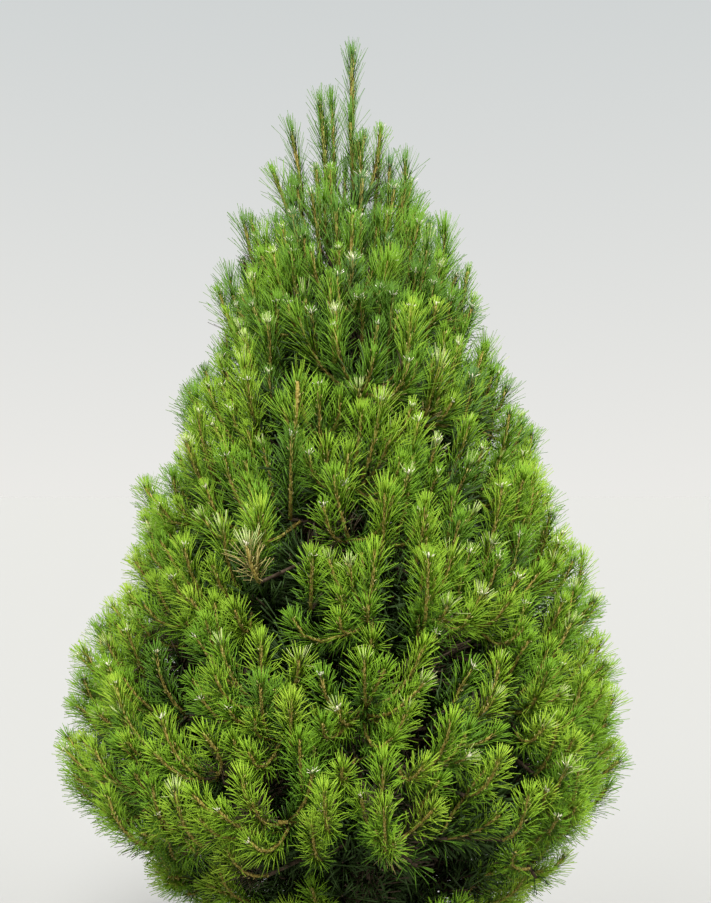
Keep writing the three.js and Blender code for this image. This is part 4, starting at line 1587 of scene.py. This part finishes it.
smallLooks = {  # what is joined from many small things: three tones, the size of their patches, roughness
    "shootStems": (((0.14, 0.10, 0.016), (0.31, 0.235, 0.045), (0.55, 0.46, 0.15)), 150.0, (0.55, 0.8)),
    "needleSheaths": (((0.34, 0.28, 0.06), (0.56, 0.48, 0.15), (0.76, 0.70, 0.34)), 60.0, (0.5, 0.75)),
    "twigBark": (((0.028, 0.018, 0.011), (0.055, 0.037, 0.023), (0.10, 0.07, 0.046)), 70.0, (0.75, 0.95)),
    "resinBuds": (((0.72, 0.60, 0.36), (0.88, 0.81, 0.60), (0.94, 0.91, 0.80)), 140.0, (0.35, 0.6)),
    "fallenNeedles": (((0.15, 0.085, 0.035), (0.27, 0.165, 0.075), (0.38, 0.26, 0.13)), 60.0, (0.6, 0.85)),
    "barkChips": (((0.06, 0.034, 0.02), (0.13, 0.075, 0.045), (0.22, 0.14, 0.09)), 55.0, (0.7, 0.95)),
    "paleFloor": (((0.364, 0.358, 0.343), (0.367, 0.361, 0.346), (0.370, 0.364, 0.349)), 60.0, (0.85, 0.95)),
}
smallSpecular = {"resinBuds": 0.5, "paleFloor": 0.0}  # and 0.15 for the others


def smallMaterial(name):
    material, tree, shader = newMaterial(name)
    tones, scale, roughness = smallLooks[name]
    tree.links.new(tonesOf(tree, tones, scale), shader.inputs["Base Color"])
    grain = speckle(tree, scale * 2.5, 3.0)
    setRoughness(tree, shader, grain, *roughness)
    shader.inputs["Specular IOR Level"].default_value = smallSpecular.get(name, 0.15)
    if name == "resinBuds":
        shader.inputs["Coat Weight"].default_value = 0.25
    elif name != "paleFloor":
        setBump(tree, shader, grain, 0.5, 0.0008)
    return material


needleLook = {"roughness": (0.46, 0.66), "specular": 0.24, "grainScale": 55.0}


def needleMaterial(tint):  # one plain colour for each tint of spray, with a wax bloom that changes the gloss
    material, tree, shader = newMaterial("needle" + tint)
    shader.inputs["Base Color"].default_value = (*tints[tint], 1)
    shader.inputs["Specular IOR Level"].default_value = needleLook["specular"]
    setRoughness(tree, shader, speckle(tree, needleLook["grainScale"], 4.0), *needleLook["roughness"])
    return material


def dress(piece, material, nodes):
    piece.data.materials.clear()
    piece.data.materials.append(material)
    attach(piece, "root")
    if nodes:
        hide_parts(*nodes)
    print(piece.name, len(piece.data.polygons), "faces")


boughNodes = [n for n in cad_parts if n.startswith("bough")]
foliageNodes = [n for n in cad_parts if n.startswith("foliage")]
dress(buildPot(), potMaterial(), ["pot"])
dress(buildSoil(), soilMaterial(), ["soil"])
dress(buildFallenNeedles(), smallMaterial("fallenNeedles"), [])
dress(buildBarkChips(), smallMaterial("barkChips"), [])
dress(buildTrunk(), barkMaterial("trunkBark"), ["trunk"])
dress(buildLimbs(), barkMaterial("limbBark"), boughNodes)
dress(stems.piece("shootStems"), smallMaterial("shootStems"), foliageNodes)
dress(twigs.piece("twigBark"), smallMaterial("twigBark"), foliageNodes)
dress(buds.piece("resinBuds"), smallMaterial("resinBuds"), foliageNodes)
dress(sheaths.piece("needleSheaths"), smallMaterial("needleSheaths"), foliageNodes)
for tint, gatherer in sprays.items():
    dress(gatherer.piece("needles" + tint), needleMaterial(tint), foliageNodes)

studio = {
    "floorSize": 600,
    "ambient": 0.68,
    "haze": (1.22, 1.21, 1.17, 1),  # pale by the floor
    "overhead": (0.86, 0.91, 0.92, 1),  # a little cooler
    "overheadFrom": 0.55,
    "lights": {
        "key": {"turn": 14, "lift": 60, "power": 4.0, "size": 26},
        "fill": {"turn": -62, "lift": 38, "power": 1.25, "size": 50},
        "rightFill": {"turn": 72, "lift": 35, "power": 1.6, "size": 50},
    },
    "lens": 39.87,
    "sensor": 36,
    "camera": (0.0127, -3.64, 2.068),
    "tilt": 2.205,  # degrees upwards
}
bpy.ops.mesh.primitive_plane_add(size=studio["floorSize"])
floor = bpy.context.object
floor.name = "studioFloor"
floor.data.materials.append(smallMaterial("paleFloor"))

world = bpy.data.worlds.new("studioWorld")
bpy.context.scene.world = world
world.use_nodes = True
background = world.node_tree.nodes["Background"]
background.inputs["Strength"].default_value = studio["ambient"]
around = addNode(world.node_tree, "ShaderNodeTexCoord").outputs["Generated"]
haze = addNode(world.node_tree, "ShaderNodeValToRGB", Fac=heightPart(world.node_tree, around))
haze.color_ramp.elements[0].color = studio["haze"]
haze.color_ramp.elements[1].position = studio["overheadFrom"]
haze.color_ramp.elements[1].color = studio["overhead"]
world.node_tree.links.new(haze.outputs["Color"], background.inputs["Color"])

for name, light in studio["lights"].items():
    data = bpy.data.lights.new(name, "SUN")
    data.energy = light["power"]
    data.angle = math.radians(light["size"])
    lamp = bpy.data.objects.new(name, data)
    bpy.context.scene.collection.objects.link(lamp)
    turn, lift = math.radians(light["turn"]), math.radians(light["lift"])
    towards = Vector((math.sin(turn) * math.cos(lift), -math.cos(turn) * math.cos(lift), math.sin(lift)))
    lamp.rotation_euler = towards.to_track_quat("Z", "Y").to_euler()

cameraData = bpy.data.cameras.new("camera")
cameraData.lens = studio["lens"]
cameraData.sensor_width = studio["sensor"]
camera = bpy.data.objects.new("camera", cameraData)
bpy.context.scene.collection.objects.link(camera)
camera.location = studio["camera"]
camera.rotation_euler = (math.radians(90 + studio["tilt"]), 0, 0)
bpy.context.scene.camera = camera
bpy.context.scene.view_settings.view_transform = "Standard"
print("studio:", len(studio["lights"]), "lights and the camera")
